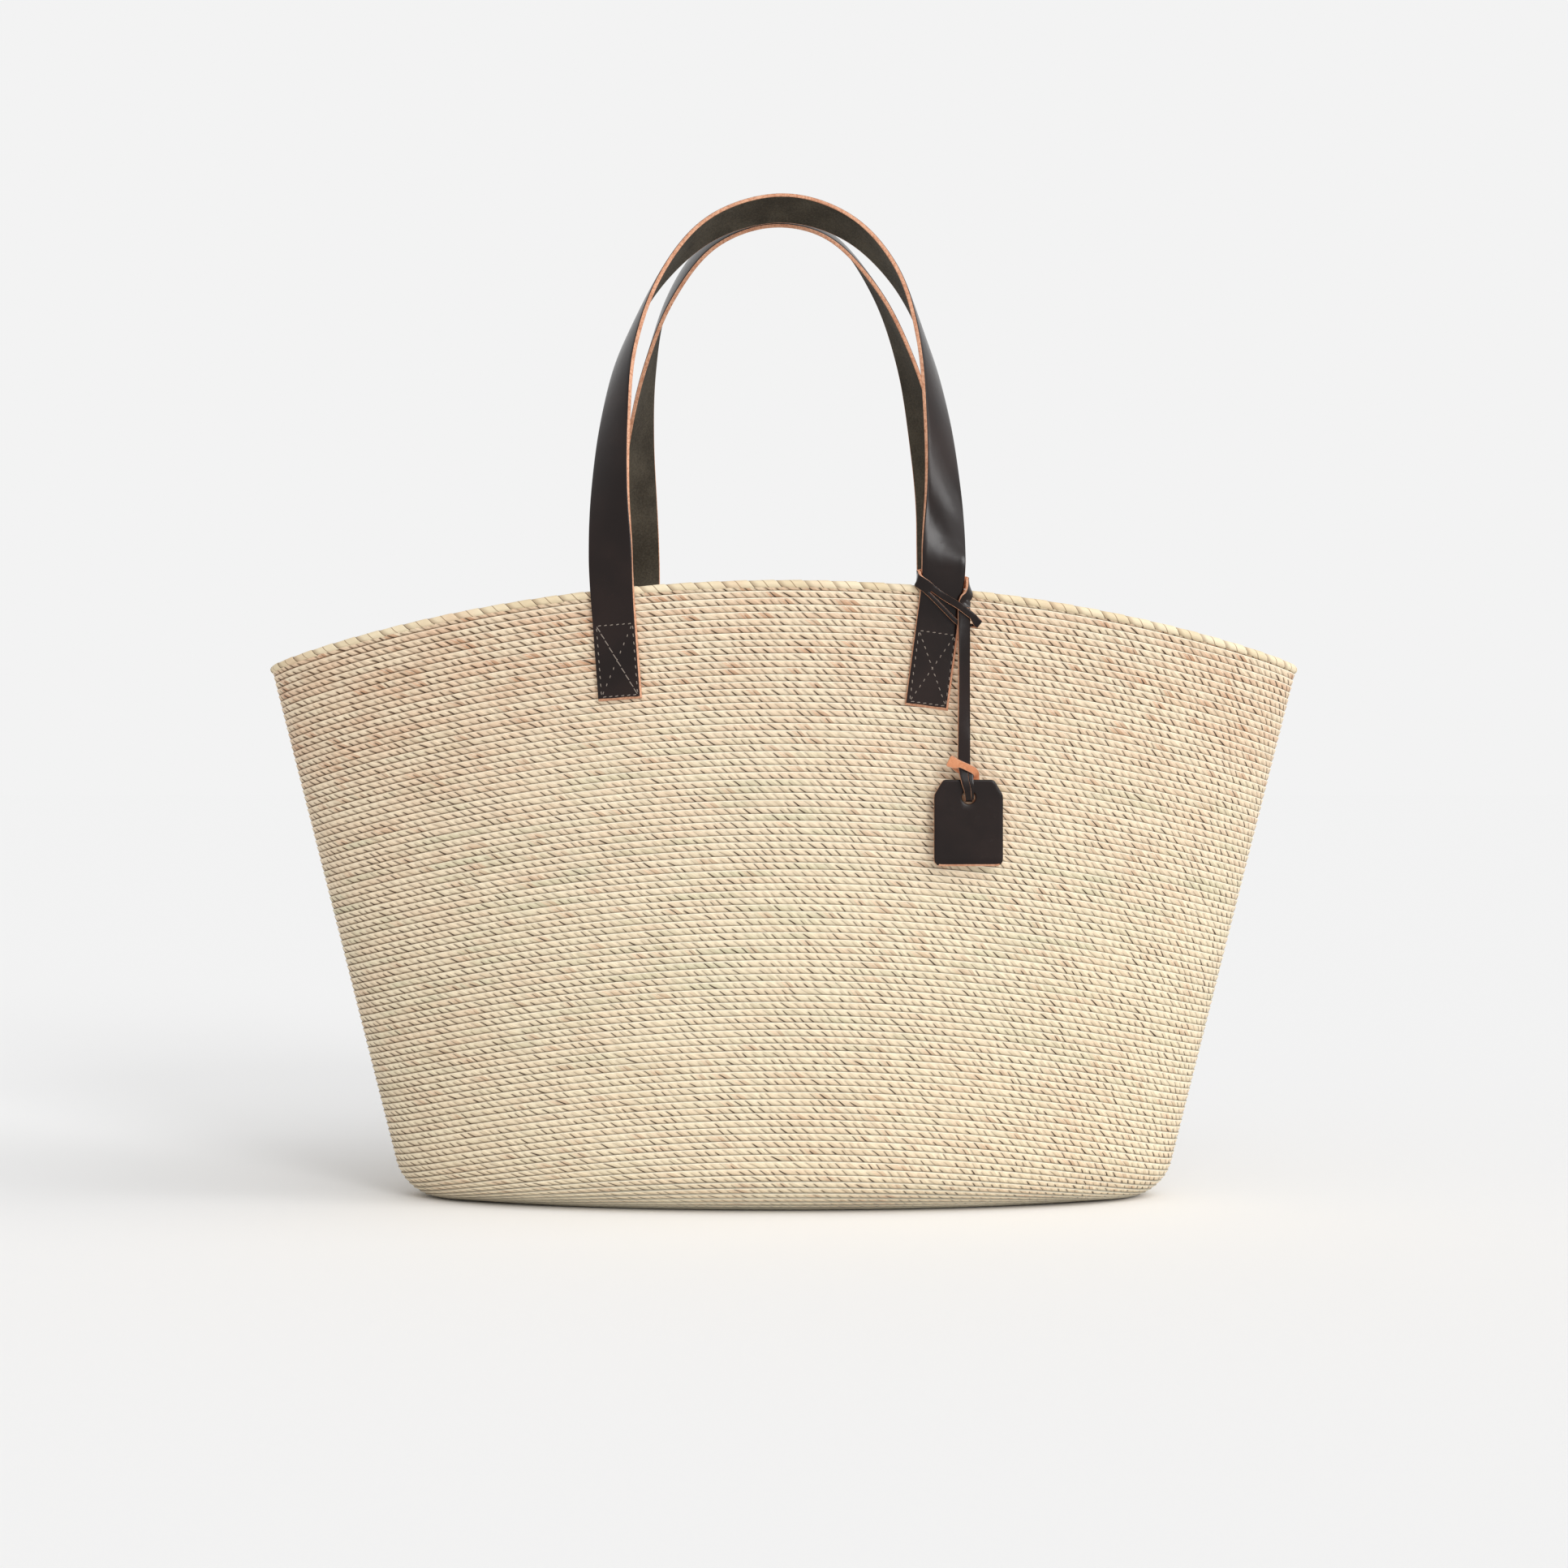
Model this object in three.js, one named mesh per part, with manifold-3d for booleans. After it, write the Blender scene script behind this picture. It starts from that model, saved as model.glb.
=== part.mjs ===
// A straw tote: an oval basket sewn from one long palm braid, two twisted leather strap handles
// sewn to its front and back, and a small leather tag on a lace that is locked through its own slits.
// Millimetres, +Z up, the front faces -Y, the origin is on the ground under the middle of the base.

import * as THREE from 'three';
import { mergeVertices } from 'three/addons/utils/BufferGeometryUtils.js';
import Module from 'manifold-3d';

const wasm = await Module();
wasm.setup();

// The basket
const RIM_HALF_LENGTH = 303;
const RIM_HALF_DEPTH = 88;
const RIM_HEIGHT_MIDDLE = 357.5;
const RIM_HEIGHT_END = 312;
const BASE_HALF_LENGTH = 202;
const BASE_HALF_DEPTH = 58;
const END_CORNER_RADIUS = 28;
const FRONT_CORNER_RADIUS = 26;
const START_HALF_LENGTH = 120; // half of the straight braid that the oval base starts from
const BRAID_THICKNESS = 3;
const RIM_ROW_HEIGHT = 4.6;
const RIM_ROW_BULGE = 0.7; // how far the wrapped rim row stands out on each side of the wall
const RIM_ROW_BEVEL = 1.2;
const SEAT_GAP = 0.3; // clearance between pieces that touch

// The strap handles
const STRAP_WIDTH = 25;
const STRAP_THICKNESS = 2.6;
const STRAP_CHAMFER = 0.5;
const FOLD_HEIGHT = 13.5; // the fold of the strap above the middle of the rim
const SETTLE_HEIGHT = 26; // below the fold, over which a splayed leg comes upright
const LIFT_HEIGHT = 12; // below the rim row, over which the strap rises onto it
const LEAN_POWER = 1.2; // how late the loop leans inwards on its way up
const SEAM_WIDTH = 20.5;
const SEAM_HEIGHT = 40;
const SEAM_MARGIN = 2.2; // from the seam to the strap's lower end
const THREAD_WIDTH = 0.9;
const THREAD_PROUD = 0.5;
const PATCH_THICKNESS = 1.6;

// Each handle rises from its folds to the top of its arch, where its front edge is tilted upwards and
// its middle is shifted sideways. Each leg has its seam's place, its splay in degrees, and how far it
// has settled inwards at its fold. The loop's stations are [share of the rise, share of the spread at
// the fold, degrees of twist]. The back handle is laid out as seen from behind.
const FRONT_HANDLE = {
  rise: 211.2, tilt: 27.8, shift: -0.9,
  left: {
    side: -1, seamX: 93.5, seamZ: 312.5, splay: 4.2, settle: 0.5,
    stations: [
      [0, 1, 5], [0.165, 1.016, 29], [0.376, 0.996, 48],
      [0.579, 0.93, 69], [0.787, 0.74, 90], [0.942, 0.429, 110],
    ],
  },
  right: {
    side: 1, seamX: 83, seamZ: 308, splay: 7.6, settle: 1.9,
    stations: [
      [0, 1, 5], [0.182, 1.011, 36], [0.394, 0.98, 56],
      [0.6, 0.903, 77], [0.794, 0.736, 98], [0.941, 0.429, 112],
    ],
  },
};
const BACK_HANDLE = {
  rise: 208, tilt: 22.5, shift: 8.6,
  left: {
    side: -1, seamX: 91.2, seamZ: 312.5, splay: 4.2, settle: 0.5,
    stations: [
      [0, 1, 5], [0.209, 0.983, 30], [0.412, 0.913, 52],
      [0.613, 0.808, 71], [0.806, 0.63, 88], [0.959, 0.355, 105],
    ],
  },
  right: {
    side: 1, seamX: 83, seamZ: 308, splay: 7.6, settle: 1.9,
    stations: [
      [0, 1, 5], [0.199, 1.006, 31], [0.398, 0.991, 56],
      [0.594, 0.919, 80], [0.78, 0.764, 102], [0.936, 0.451, 111],
    ],
  },
};

// The lace and its tag
const LACE_WIDTH = 7;
const LACE_THICKNESS = 1.8;
const LACE_CHAMFER = 0.35;
const KNOT_BELOW_FOLD = 24; // where the knot's band crosses the middle of the strap
const KNOT_SLOPE = 35.5; // degrees that the band falls towards its free tip
const KNOT_SLIT = [-8, 23.4]; // the slit along the band, from the middle of the strap
const KNOT_TIP = 25.4;
const KNOT_TIP_TILT = 45; // degrees that the tip is turned, because its two halves lie at unlike depths
const KNOT_OPENING = 3.6; // how far the slit gapes where the hanging strip passes through it
const WRAP_HEIGHT = [13.6, 9.6]; // above the band: the lace behind the strap, at its left and right edges
const STRIP_OUT = 12.1; // the hanging strip, to the right of the strap's middle
const STRIP_LENGTH = 76.5; // from its pivot in the slit to the bend above the tag
const TAG_WIDTH = 39;
const TAG_HEIGHT = 48.5;
const TAG_THICKNESS = 3;
const TAG_CHAMFER_WIDTH = 5.2;
const TAG_CHAMFER_HEIGHT = 8.6;
const TAG_CORNER_RADIUS = 3.8;
const TAG_HOLE_RADIUS = 3.75;
const TAG_HOLE_BELOW_TOP = 10;
const TAG_HOLE_BELOW_BEND = 26.4;
const TAG_OFF_STRIP = 2.9; // the hole's middle, to the right of the strip's
const HOLE_LACE_NARROW = 0.6; // the lace folds lengthwise to pass the hole
const LOOP_TIP_SLOPE = 29; // degrees that the lower slit end rises to the left
const LOOP_SLIT = [1.6, 10.6]; // along that end, from where its middle line is over the hole's right side
const LOOP_TIP = 16;
const LOOP_OPENING = 0.5;

// How finely the surfaces are divided
const AROUND = 80;
const CORNER_STEPS = 5;
const WALL_STEPS = 6;
const LOOP_STEPS = 60;

const STRAW = material('#e6d7b2', 0.85);
const STRAW_RIM = material('#ece0c0', 0.8);
const LEATHER = material('#2a2222', 0.45);
const LEATHER_PATCH = material('#3a342f', 0.7);
const THREAD = material('#b5a99b', 0.8);

const UP = new THREE.Vector3(0, 0, 1);
const FRONT = new THREE.Vector3(0, -1, 0);
const radians = THREE.MathUtils.degToRad;

function material(color, roughness) {
  return new THREE.MeshStandardMaterial({ color, roughness, metalness: 0 });
}

// One upright cut through the basket: along the ground, round the corner and straight up the wall.
// The result gives the distance out and the height at a share of the whole way.
function upwardCut(start, contact, radius, rim, height) {
  const run = rim - contact;
  const rise = height - radius;
  const wall = Math.sqrt(run * run + rise * rise - radius * radius);
  const lean = Math.atan2(rise, run) + Math.atan2(radius, wall);
  const flat = contact - start;
  const arc = radius * lean;
  const total = flat + arc + wall;
  const at = (share) => {
    const s = share * total;
    if (s < flat) return [start + s, 0];
    const turn = Math.min((s - flat) / radius, lean);
    const rest = Math.max(s - flat - arc, 0);
    return [
      contact + radius * Math.sin(turn) + rest * Math.cos(lean),
      radius * (1 - Math.cos(turn)) + rest * Math.sin(lean),
    ];
  };
  return { at, total, flat, arc };
}

const endCut = upwardCut(
  START_HALF_LENGTH, BASE_HALF_LENGTH, END_CORNER_RADIUS, RIM_HALF_LENGTH, RIM_HEIGHT_END,
);
const frontCut = upwardCut(0, BASE_HALF_DEPTH, FRONT_CORNER_RADIUS, RIM_HALF_DEPTH, RIM_HEIGHT_MIDDLE);

// Every row of the braid is an oval that drops towards the two ends
function basketPoint(angle, share) {
  const [length, endHeight] = endCut.at(share);
  const [depth, frontHeight] = frontCut.at(share);
  const c = Math.cos(angle);
  const s = Math.sin(angle);
  return new THREE.Vector3(length * c, depth * s, frontHeight * s * s + endHeight * c * c);
}

function basketFrame(angle, share) {
  const small = 1e-4;
  const along = basketPoint(angle + small, share).sub(basketPoint(angle - small, share)).normalize();
  const up = basketPoint(angle, share + small).sub(basketPoint(angle, share - small)).normalize();
  return { along, up, normal: new THREE.Vector3().crossVectors(along, up).normalize() };
}

function basketOffset(angle, share, out) {
  return basketPoint(angle, share).addScaledVector(basketFrame(angle, share).normal, out);
}

// The place on the outside of the front wall with a given X and height, also a little above the rim
function frontWallPlace(x, z) {
  let low = 0.3;
  let high = 1.15;
  for (let step = 0; step < 50; step++) {
    const share = (low + high) / 2;
    const angle = -Math.acos(x / endCut.at(share)[0]);
    if (basketPoint(angle, share).z < z) low = share; else high = share;
  }
  const share = (low + high) / 2;
  return { share, angle: -Math.acos(x / endCut.at(share)[0]) };
}

// Closed rings of points, one after the other, joined by quads. Open ends are capped from their middle.
function skin(rings, closed) {
  const count = rings[0].length;
  const positions = rings.flat().flatMap((p) => [p.x, p.y, p.z]);
  const index = [];
  const ringCount = closed ? rings.length : rings.length - 1;
  for (let r = 0; r < ringCount; r++) {
    const next = (r + 1) % rings.length;
    for (let i = 0; i < count; i++) {
      const j = (i + 1) % count;
      const [a, b, c, d] = [r * count + i, r * count + j, next * count + j, next * count + i];
      index.push(a, b, c, a, c, d);
    }
  }
  if (!closed) {
    for (const [r, flip] of [[0, true], [rings.length - 1, false]]) {
      const middle = rings[r].reduce((sum, p) => sum.add(p), new THREE.Vector3()).divideScalar(count);
      const m = positions.length / 3;
      positions.push(middle.x, middle.y, middle.z);
      for (let i = 0; i < count; i++) {
        const [a, b] = [r * count + i, r * count + ((i + 1) % count)];
        if (flip) index.push(m, b, a); else index.push(m, a, b);
      }
    }
  }
  const geometry = new THREE.BufferGeometry();
  geometry.setAttribute('position', new THREE.Float32BufferAttribute(positions, 3));
  geometry.setIndex(index);
  return facingOut(geometry);
}

// Turns every triangle over where the closed surface encloses a negative volume
function facingOut(geometry) {
  const p = geometry.getAttribute('position');
  const index = geometry.getIndex();
  const [a, b, c] = [new THREE.Vector3(), new THREE.Vector3(), new THREE.Vector3()];
  let volume = 0;
  for (let i = 0; i < index.count; i += 3) {
    a.fromBufferAttribute(p, index.getX(i));
    b.fromBufferAttribute(p, index.getX(i + 1));
    c.fromBufferAttribute(p, index.getX(i + 2));
    volume += a.dot(b.cross(c));
  }
  if (volume < 0) {
    const flipped = [];
    for (let i = 0; i < index.count; i += 3) {
      flipped.push(index.getX(i), index.getX(i + 2), index.getX(i + 1));
    }
    geometry.setIndex(flipped);
  }
  geometry.computeVertexNormals();
  return geometry;
}

// A flat strip with bevelled edges, through sections that each have a middle, a width direction and
// an outward direction
function strip(sections, width, thickness, chamfer) {
  const rings = sections.map(({ middle, across, out, narrow = 1 }) => {
    const w = (width * narrow) / 2;
    const t = thickness / 2;
    const corners = [
      [w, t - chamfer], [w - chamfer, t], [chamfer - w, t], [-w, t - chamfer],
      [-w, chamfer - t], [chamfer - w, -t], [w - chamfer, -t], [w, chamfer - t],
    ];
    return corners.map(([u, v]) => middle.clone().addScaledVector(across, u).addScaledVector(out, v));
  });
  return skin(rings, false);
}

// Sections along a smooth curve through stations, each a place, a width direction and a share of the
// whole width, all in a local frame
function laceSections(stations, steps, frame) {
  const curve = (points) => new THREE.CatmullRomCurve3(points, false, 'catmullrom', 0.5);
  const middles = curve(stations.map(({ at }) => localPoint(frame, at)));
  const acrosses = curve(stations.map(({ across }) => localDirection(frame, across)));
  const narrows = curve(stations.map(({ narrow = 1 }, i) => new THREE.Vector3(narrow, i, 0)));
  return Array.from({ length: steps + 1 }, (_, i) => {
    const t = i / steps;
    const along = middles.getTangent(t);
    const across = acrosses.getPoint(t);
    across.addScaledVector(along, -across.dot(along)).normalize();
    const out = new THREE.Vector3().crossVectors(across, along).normalize();
    return { middle: middles.getPoint(t), across, out, narrow: narrows.getPoint(t).x };
  });
}

function localDirection({ right, up, out }, [u, v, w]) {
  return new THREE.Vector3().addScaledVector(right, u).addScaledVector(up, v).addScaledVector(out, w);
}

function localPoint(frame, place) {
  return localDirection(frame, place).add(frame.origin);
}

function solidOf(geometry) {
  const bare = geometry.clone();
  for (const name of Object.keys(bare.attributes)) if (name !== 'position') bare.deleteAttribute(name);
  const merged = mergeVertices(bare, 1e-4);
  return new wasm.Manifold(new wasm.Mesh({
    numProp: 3,
    vertProperties: new Float32Array(merged.getAttribute('position').array),
    triVerts: new Uint32Array(merged.getIndex().array),
  }));
}

// One solid from several that overlap, without the specks that a sharply bent strip leaves inside
function joined(geometries) {
  const sum = geometries.map(solidOf).reduce((whole, solid) => whole.add(solid));
  const [largest] = sum.decompose().sort((a, b) => b.volume() - a.volume());
  const result = largest.simplify(0.02).getMesh();
  const geometry = new THREE.BufferGeometry();
  geometry.setAttribute('position', new THREE.BufferAttribute(result.vertProperties, 3));
  geometry.setIndex(new THREE.BufferAttribute(result.triVerts, 1));
  geometry.computeVertexNormals();
  return geometry;
}

// The wall starts at the row where the front leaves the ground
const wallStart = frontCut.flat / frontCut.total;
const wallTop = 1 - (RIM_ROW_HEIGHT + SEAT_GAP) / frontCut.total;
const cornerEnd = Math.max(...[frontCut, endCut].map(({ flat, arc, total }) => (flat + arc) / total));

function plate(shape, depth, curveSegments) {
  return new THREE.ExtrudeGeometry(shape, { depth, bevelEnabled: false, curveSegments });
}

function baseGeometry() {
  const [length] = endCut.at(wallStart);
  const shape = new THREE.Shape();
  shape.absellipse(0, 0, length - SEAT_GAP, BASE_HALF_DEPTH - SEAT_GAP, 0, Math.PI * 2);
  return plate(shape, BRAID_THICKNESS, AROUND / 2);
}

function wallGeometry() {
  const shares = [];
  const corner = CORNER_STEPS * 2;
  for (let i = 0; i < corner; i++) shares.push(THREE.MathUtils.lerp(wallStart, cornerEnd, i / corner));
  for (let i = 0; i <= WALL_STEPS; i++) shares.push(THREE.MathUtils.lerp(cornerEnd, wallTop, i / WALL_STEPS));
  const rings = Array.from({ length: AROUND }, (_, i) => {
    const angle = (i / AROUND) * Math.PI * 2;
    const outer = shares.map((share) => basketPoint(angle, share));
    const inner = shares.map((share) => basketOffset(angle, share, -BRAID_THICKNESS));
    return [...outer, ...inner.reverse()];
  });
  return skin(rings, true);
}

function rimGeometry() {
  const middle = 1 - RIM_ROW_HEIGHT / 2 / frontCut.total;
  const h = RIM_ROW_HEIGHT / 2;
  const t = BRAID_THICKNESS / 2 + RIM_ROW_BULGE;
  const bevel = RIM_ROW_BEVEL;
  const corners = [
    [t, h - bevel], [t - bevel, h], [bevel - t, h], [-t, h - bevel],
    [-t, bevel - h], [bevel - t, -h], [t - bevel, -h], [t, bevel - h],
  ];
  const rings = Array.from({ length: AROUND }, (_, i) => {
    const angle = (i / AROUND) * Math.PI * 2;
    const { up, normal } = basketFrame(angle, middle);
    const centre = basketOffset(angle, middle, -BRAID_THICKNESS / 2);
    return corners.map(([u, v]) => centre.clone().addScaledVector(normal, u).addScaledVector(up, v));
  });
  return skin(rings, true);
}

// The strap's middle line on and above the wall
const foldZ = RIM_HEIGHT_MIDDLE + FOLD_HEIGHT;
const strapOut = SEAT_GAP + STRAP_THICKNESS / 2;

function legX(leg, z) {
  const settled = leg.settle * Math.max(0, 1 - (foldZ - z) / SETTLE_HEIGHT) ** 2;
  return leg.side * (leg.seamX + (z - leg.seamZ) * Math.tan(radians(leg.splay)) - settled);
}

function legPlace(leg, z) {
  const x = legX(leg, z);
  const { share, angle } = frontWallPlace(x, z);
  const lift = THREE.MathUtils.smoothstep(share, wallTop - LIFT_HEIGHT / frontCut.total, wallTop);
  const { normal } = basketFrame(angle, Math.min(share, 1));
  const middle = basketOffset(angle, share, strapOut + RIM_ROW_BULGE * lift);
  return { middle, normal };
}

const legBottom = (leg) => leg.seamZ - SEAM_HEIGHT / 2 - SEAM_MARGIN;

function legSection(leg, z, level = false) {
  const { middle, normal } = legPlace(leg, z);
  const along = level ? UP.clone() : legPlace(leg, z + 1).middle.sub(legPlace(leg, z - 1).middle).normalize();
  const across = new THREE.Vector3().crossVectors(along, normal).normalize();
  return { middle, across, out: new THREE.Vector3().crossVectors(across, along).normalize(), along };
}

function strapEndGeometry(leg) {
  const bottom = legBottom(leg);
  const top = foldZ - SEAT_GAP;
  const steps = 12;
  const sections = Array.from({ length: steps + 1 }, (_, i) => (
    legSection(leg, bottom + ((top - bottom) * i) / steps, i === steps)
  ));
  return strip(sections, STRAP_WIDTH, STRAP_THICKNESS, STRAP_CHAMFER);
}

// The loop from fold to fold: through the left leg's stations, over the arch, down the right leg
function handleGeometry({ rise, tilt, shift, left, right }) {
  const lean = radians(tilt);
  const archY = -(SEAT_GAP / 2 + (STRAP_WIDTH / 2) * Math.cos(lean) + (STRAP_THICKNESS / 2) * Math.sin(lean));
  const station = (leg) => ([riseShare, spread, twist]) => {
    const x = shift + (legX(leg, foldZ) - shift) * spread;
    const y = THREE.MathUtils.lerp(legPlace(leg, foldZ).middle.y, archY, riseShare ** LEAN_POWER);
    return { point: new THREE.Vector3(x, y, foldZ + rise * riseShare), twist };
  };
  const all = [
    ...left.stations.map(station(left)),
    { point: new THREE.Vector3(shift, archY, foldZ + rise), twist: 90 + tilt },
    ...right.stations.map(station(right)).reverse(),
  ];
  const smooth = (points) => new THREE.CatmullRomCurve3(points, false, 'catmullrom', 0.5);
  const line = smooth(all.map(({ point }) => point));
  const twists = smooth(all.map(({ twist }, i) => new THREE.Vector3(twist, 0, i)));
  const sections = Array.from({ length: LOOP_STEPS + 1 }, (_, i) => {
    const t = i / LOOP_STEPS;
    const along = line.getTangent(t);
    if (t === 0) along.set(0, 0, 1);
    if (t === 1) along.set(0, 0, -1);
    const front = FRONT.clone().addScaledVector(along, -FRONT.dot(along)).normalize();
    const outward = new THREE.Vector3().crossVectors(front, along);
    const twist = radians(twists.getPoint(t).x);
    const across = outward.multiplyScalar(-Math.cos(twist)).addScaledVector(front, Math.sin(twist));
    return { middle: line.getPoint(t), across, out: new THREE.Vector3().crossVectors(across, along) };
  });
  return strip(sections, STRAP_WIDTH, STRAP_THICKNESS, STRAP_CHAMFER);
}

// One thread sewn as a box with a cross in it, standing a little out of the strap
function seamGeometry(leg) {
  const [w, h, t] = [SEAM_WIDTH / 2, SEAM_HEIGHT / 2, THREAD_WIDTH];
  const outline = (corners) => corners.map((corner) => new THREE.Vector2(...corner));
  const shape = new THREE.Shape(outline([[-w, -h], [w, -h], [w, h], [-w, h]]));
  const slope = h / w;
  const cut = t / 2 / Math.cos(Math.atan(slope));
  const rise = (t / 2) * Math.hypot(1, slope);
  for (const side of [-1, 1]) {
    const flatGap = [[0, side * rise], [w - t - cut, side * (h - t)], [t + cut - w, side * (h - t)]];
    const tall = h - t - rise;
    const tallGap = [[side * (rise / slope), 0], [side * (w - t), tall], [side * (w - t), -tall]];
    shape.holes.push(new THREE.Path(outline(flatGap)), new THREE.Path(outline(tallGap)));
  }
  const geometry = plate(shape, THREAD_PROUD, 1);
  const { middle, across, out, along } = legSection(leg, leg.seamZ);
  const origin = middle.clone().addScaledVector(out, STRAP_THICKNESS / 2 + SEAT_GAP);
  return geometry.applyMatrix4(new THREE.Matrix4().makeBasis(across, along, out).setPosition(origin));
}

// A leather patch on the inside of the wall that the seam goes through
function patchGeometry(leg) {
  const steps = 6;
  const sections = Array.from({ length: steps + 1 }, (_, i) => {
    const z = leg.seamZ + (SEAM_HEIGHT / 2 + SEAM_MARGIN) * (-1 + (2 * i) / steps);
    const section = legSection(leg, z);
    const { share, angle } = frontWallPlace(legX(leg, z), z);
    section.middle = basketOffset(angle, share, -(BRAID_THICKNESS + SEAT_GAP + PATCH_THICKNESS / 2));
    return section;
  });
  return strip(sections, STRAP_WIDTH, PATCH_THICKNESS, PATCH_THICKNESS / 4);
}

// The frame that the lace is laid out in: level, on the right strap's outer face, turned with the wall
function strapFaceFrame(leg, z) {
  const { middle, normal } = legPlace(leg, z);
  const out = normal.clone().setZ(0).normalize();
  const right = new THREE.Vector3().crossVectors(UP, out);
  return { origin: middle.addScaledVector(out, STRAP_THICKNESS / 2), right, up: UP, out };
}

const layer = LACE_THICKNESS + SEAT_GAP; // one lace lying on another
const onFace = SEAT_GAP + LACE_THICKNESS / 2;
const stripFace = onFace + layer;

const knotLeg = FRONT_HANDLE.right;
const knotZ = foldZ - KNOT_BELOW_FOLD;
const knotFrame = strapFaceFrame(knotLeg, knotZ);
const knotSlope = radians(KNOT_SLOPE);
const pivotDrop = STRIP_OUT * Math.tan(knotSlope);
const holeFrame = {
  ...knotFrame,
  origin: localPoint(knotFrame, [
    STRIP_OUT + TAG_OFF_STRIP, -pivotDrop - STRIP_LENGTH - TAG_HOLE_BELOW_BEND,
    stripFace - onFace - TAG_THICKNESS / 2,
  ]),
};

// A lace's slit end: its two halves part to let the hanging strip pass between them, one in front of
// the strip and one behind it, and meet again at the tip. The band runs from start at an angle, q is
// the distance along it, and each half may have lead-in stations before the straight part.
function slitEnd({
  frame, start, angle, slit, tip, tipTilt, opening, strip: [from, to], outs, tipOut, leads,
}) {
  const [c, s] = [Math.cos(angle), Math.sin(angle)];
  const [tc, ts] = [Math.cos(radians(tipTilt)), Math.sin(radians(tipTilt))];
  const width = (LACE_WIDTH - SEAT_GAP) / 2;
  const at = (q, side, out) => [start[0] + q * c - side * s, start[1] + q * s + side * c, out];
  const across = [-s, c, 0];
  const tipAcross = [-s * tc, c * tc, ts];
  const overlap = 1;
  const halves = leads.map((lead, i) => {
    const side = i === 0 ? 1 : -1;
    const beside = (side * (LACE_WIDTH - width)) / 2;
    const gape = side * (i === 0 ? 0.08 : 1) * opening;
    const straight = [[from, 1], [(from + to) / 2, 0.62], [to, 0.2]].map(([q, open]) => ({
      at: at(q, beside + gape * open, outs[i]), across,
    }));
    const meeting = [slit[1], slit[1] + overlap].map((q) => ({
      at: at(q, beside * tc, tipOut + beside * ts), across: tipAcross,
    }));
    const sections = laceSections([...lead, ...straight, ...meeting], 28, frame);
    return strip(sections, width, LACE_THICKNESS, LACE_CHAMFER);
  });
  const end = [slit[1], tip].map((q) => ({ at: at(q, 0, tipOut), across: tipAcross }));
  return [...halves, strip(laceSections(end, 2, frame), LACE_WIDTH, LACE_THICKNESS, LACE_CHAMFER)];
}

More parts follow.
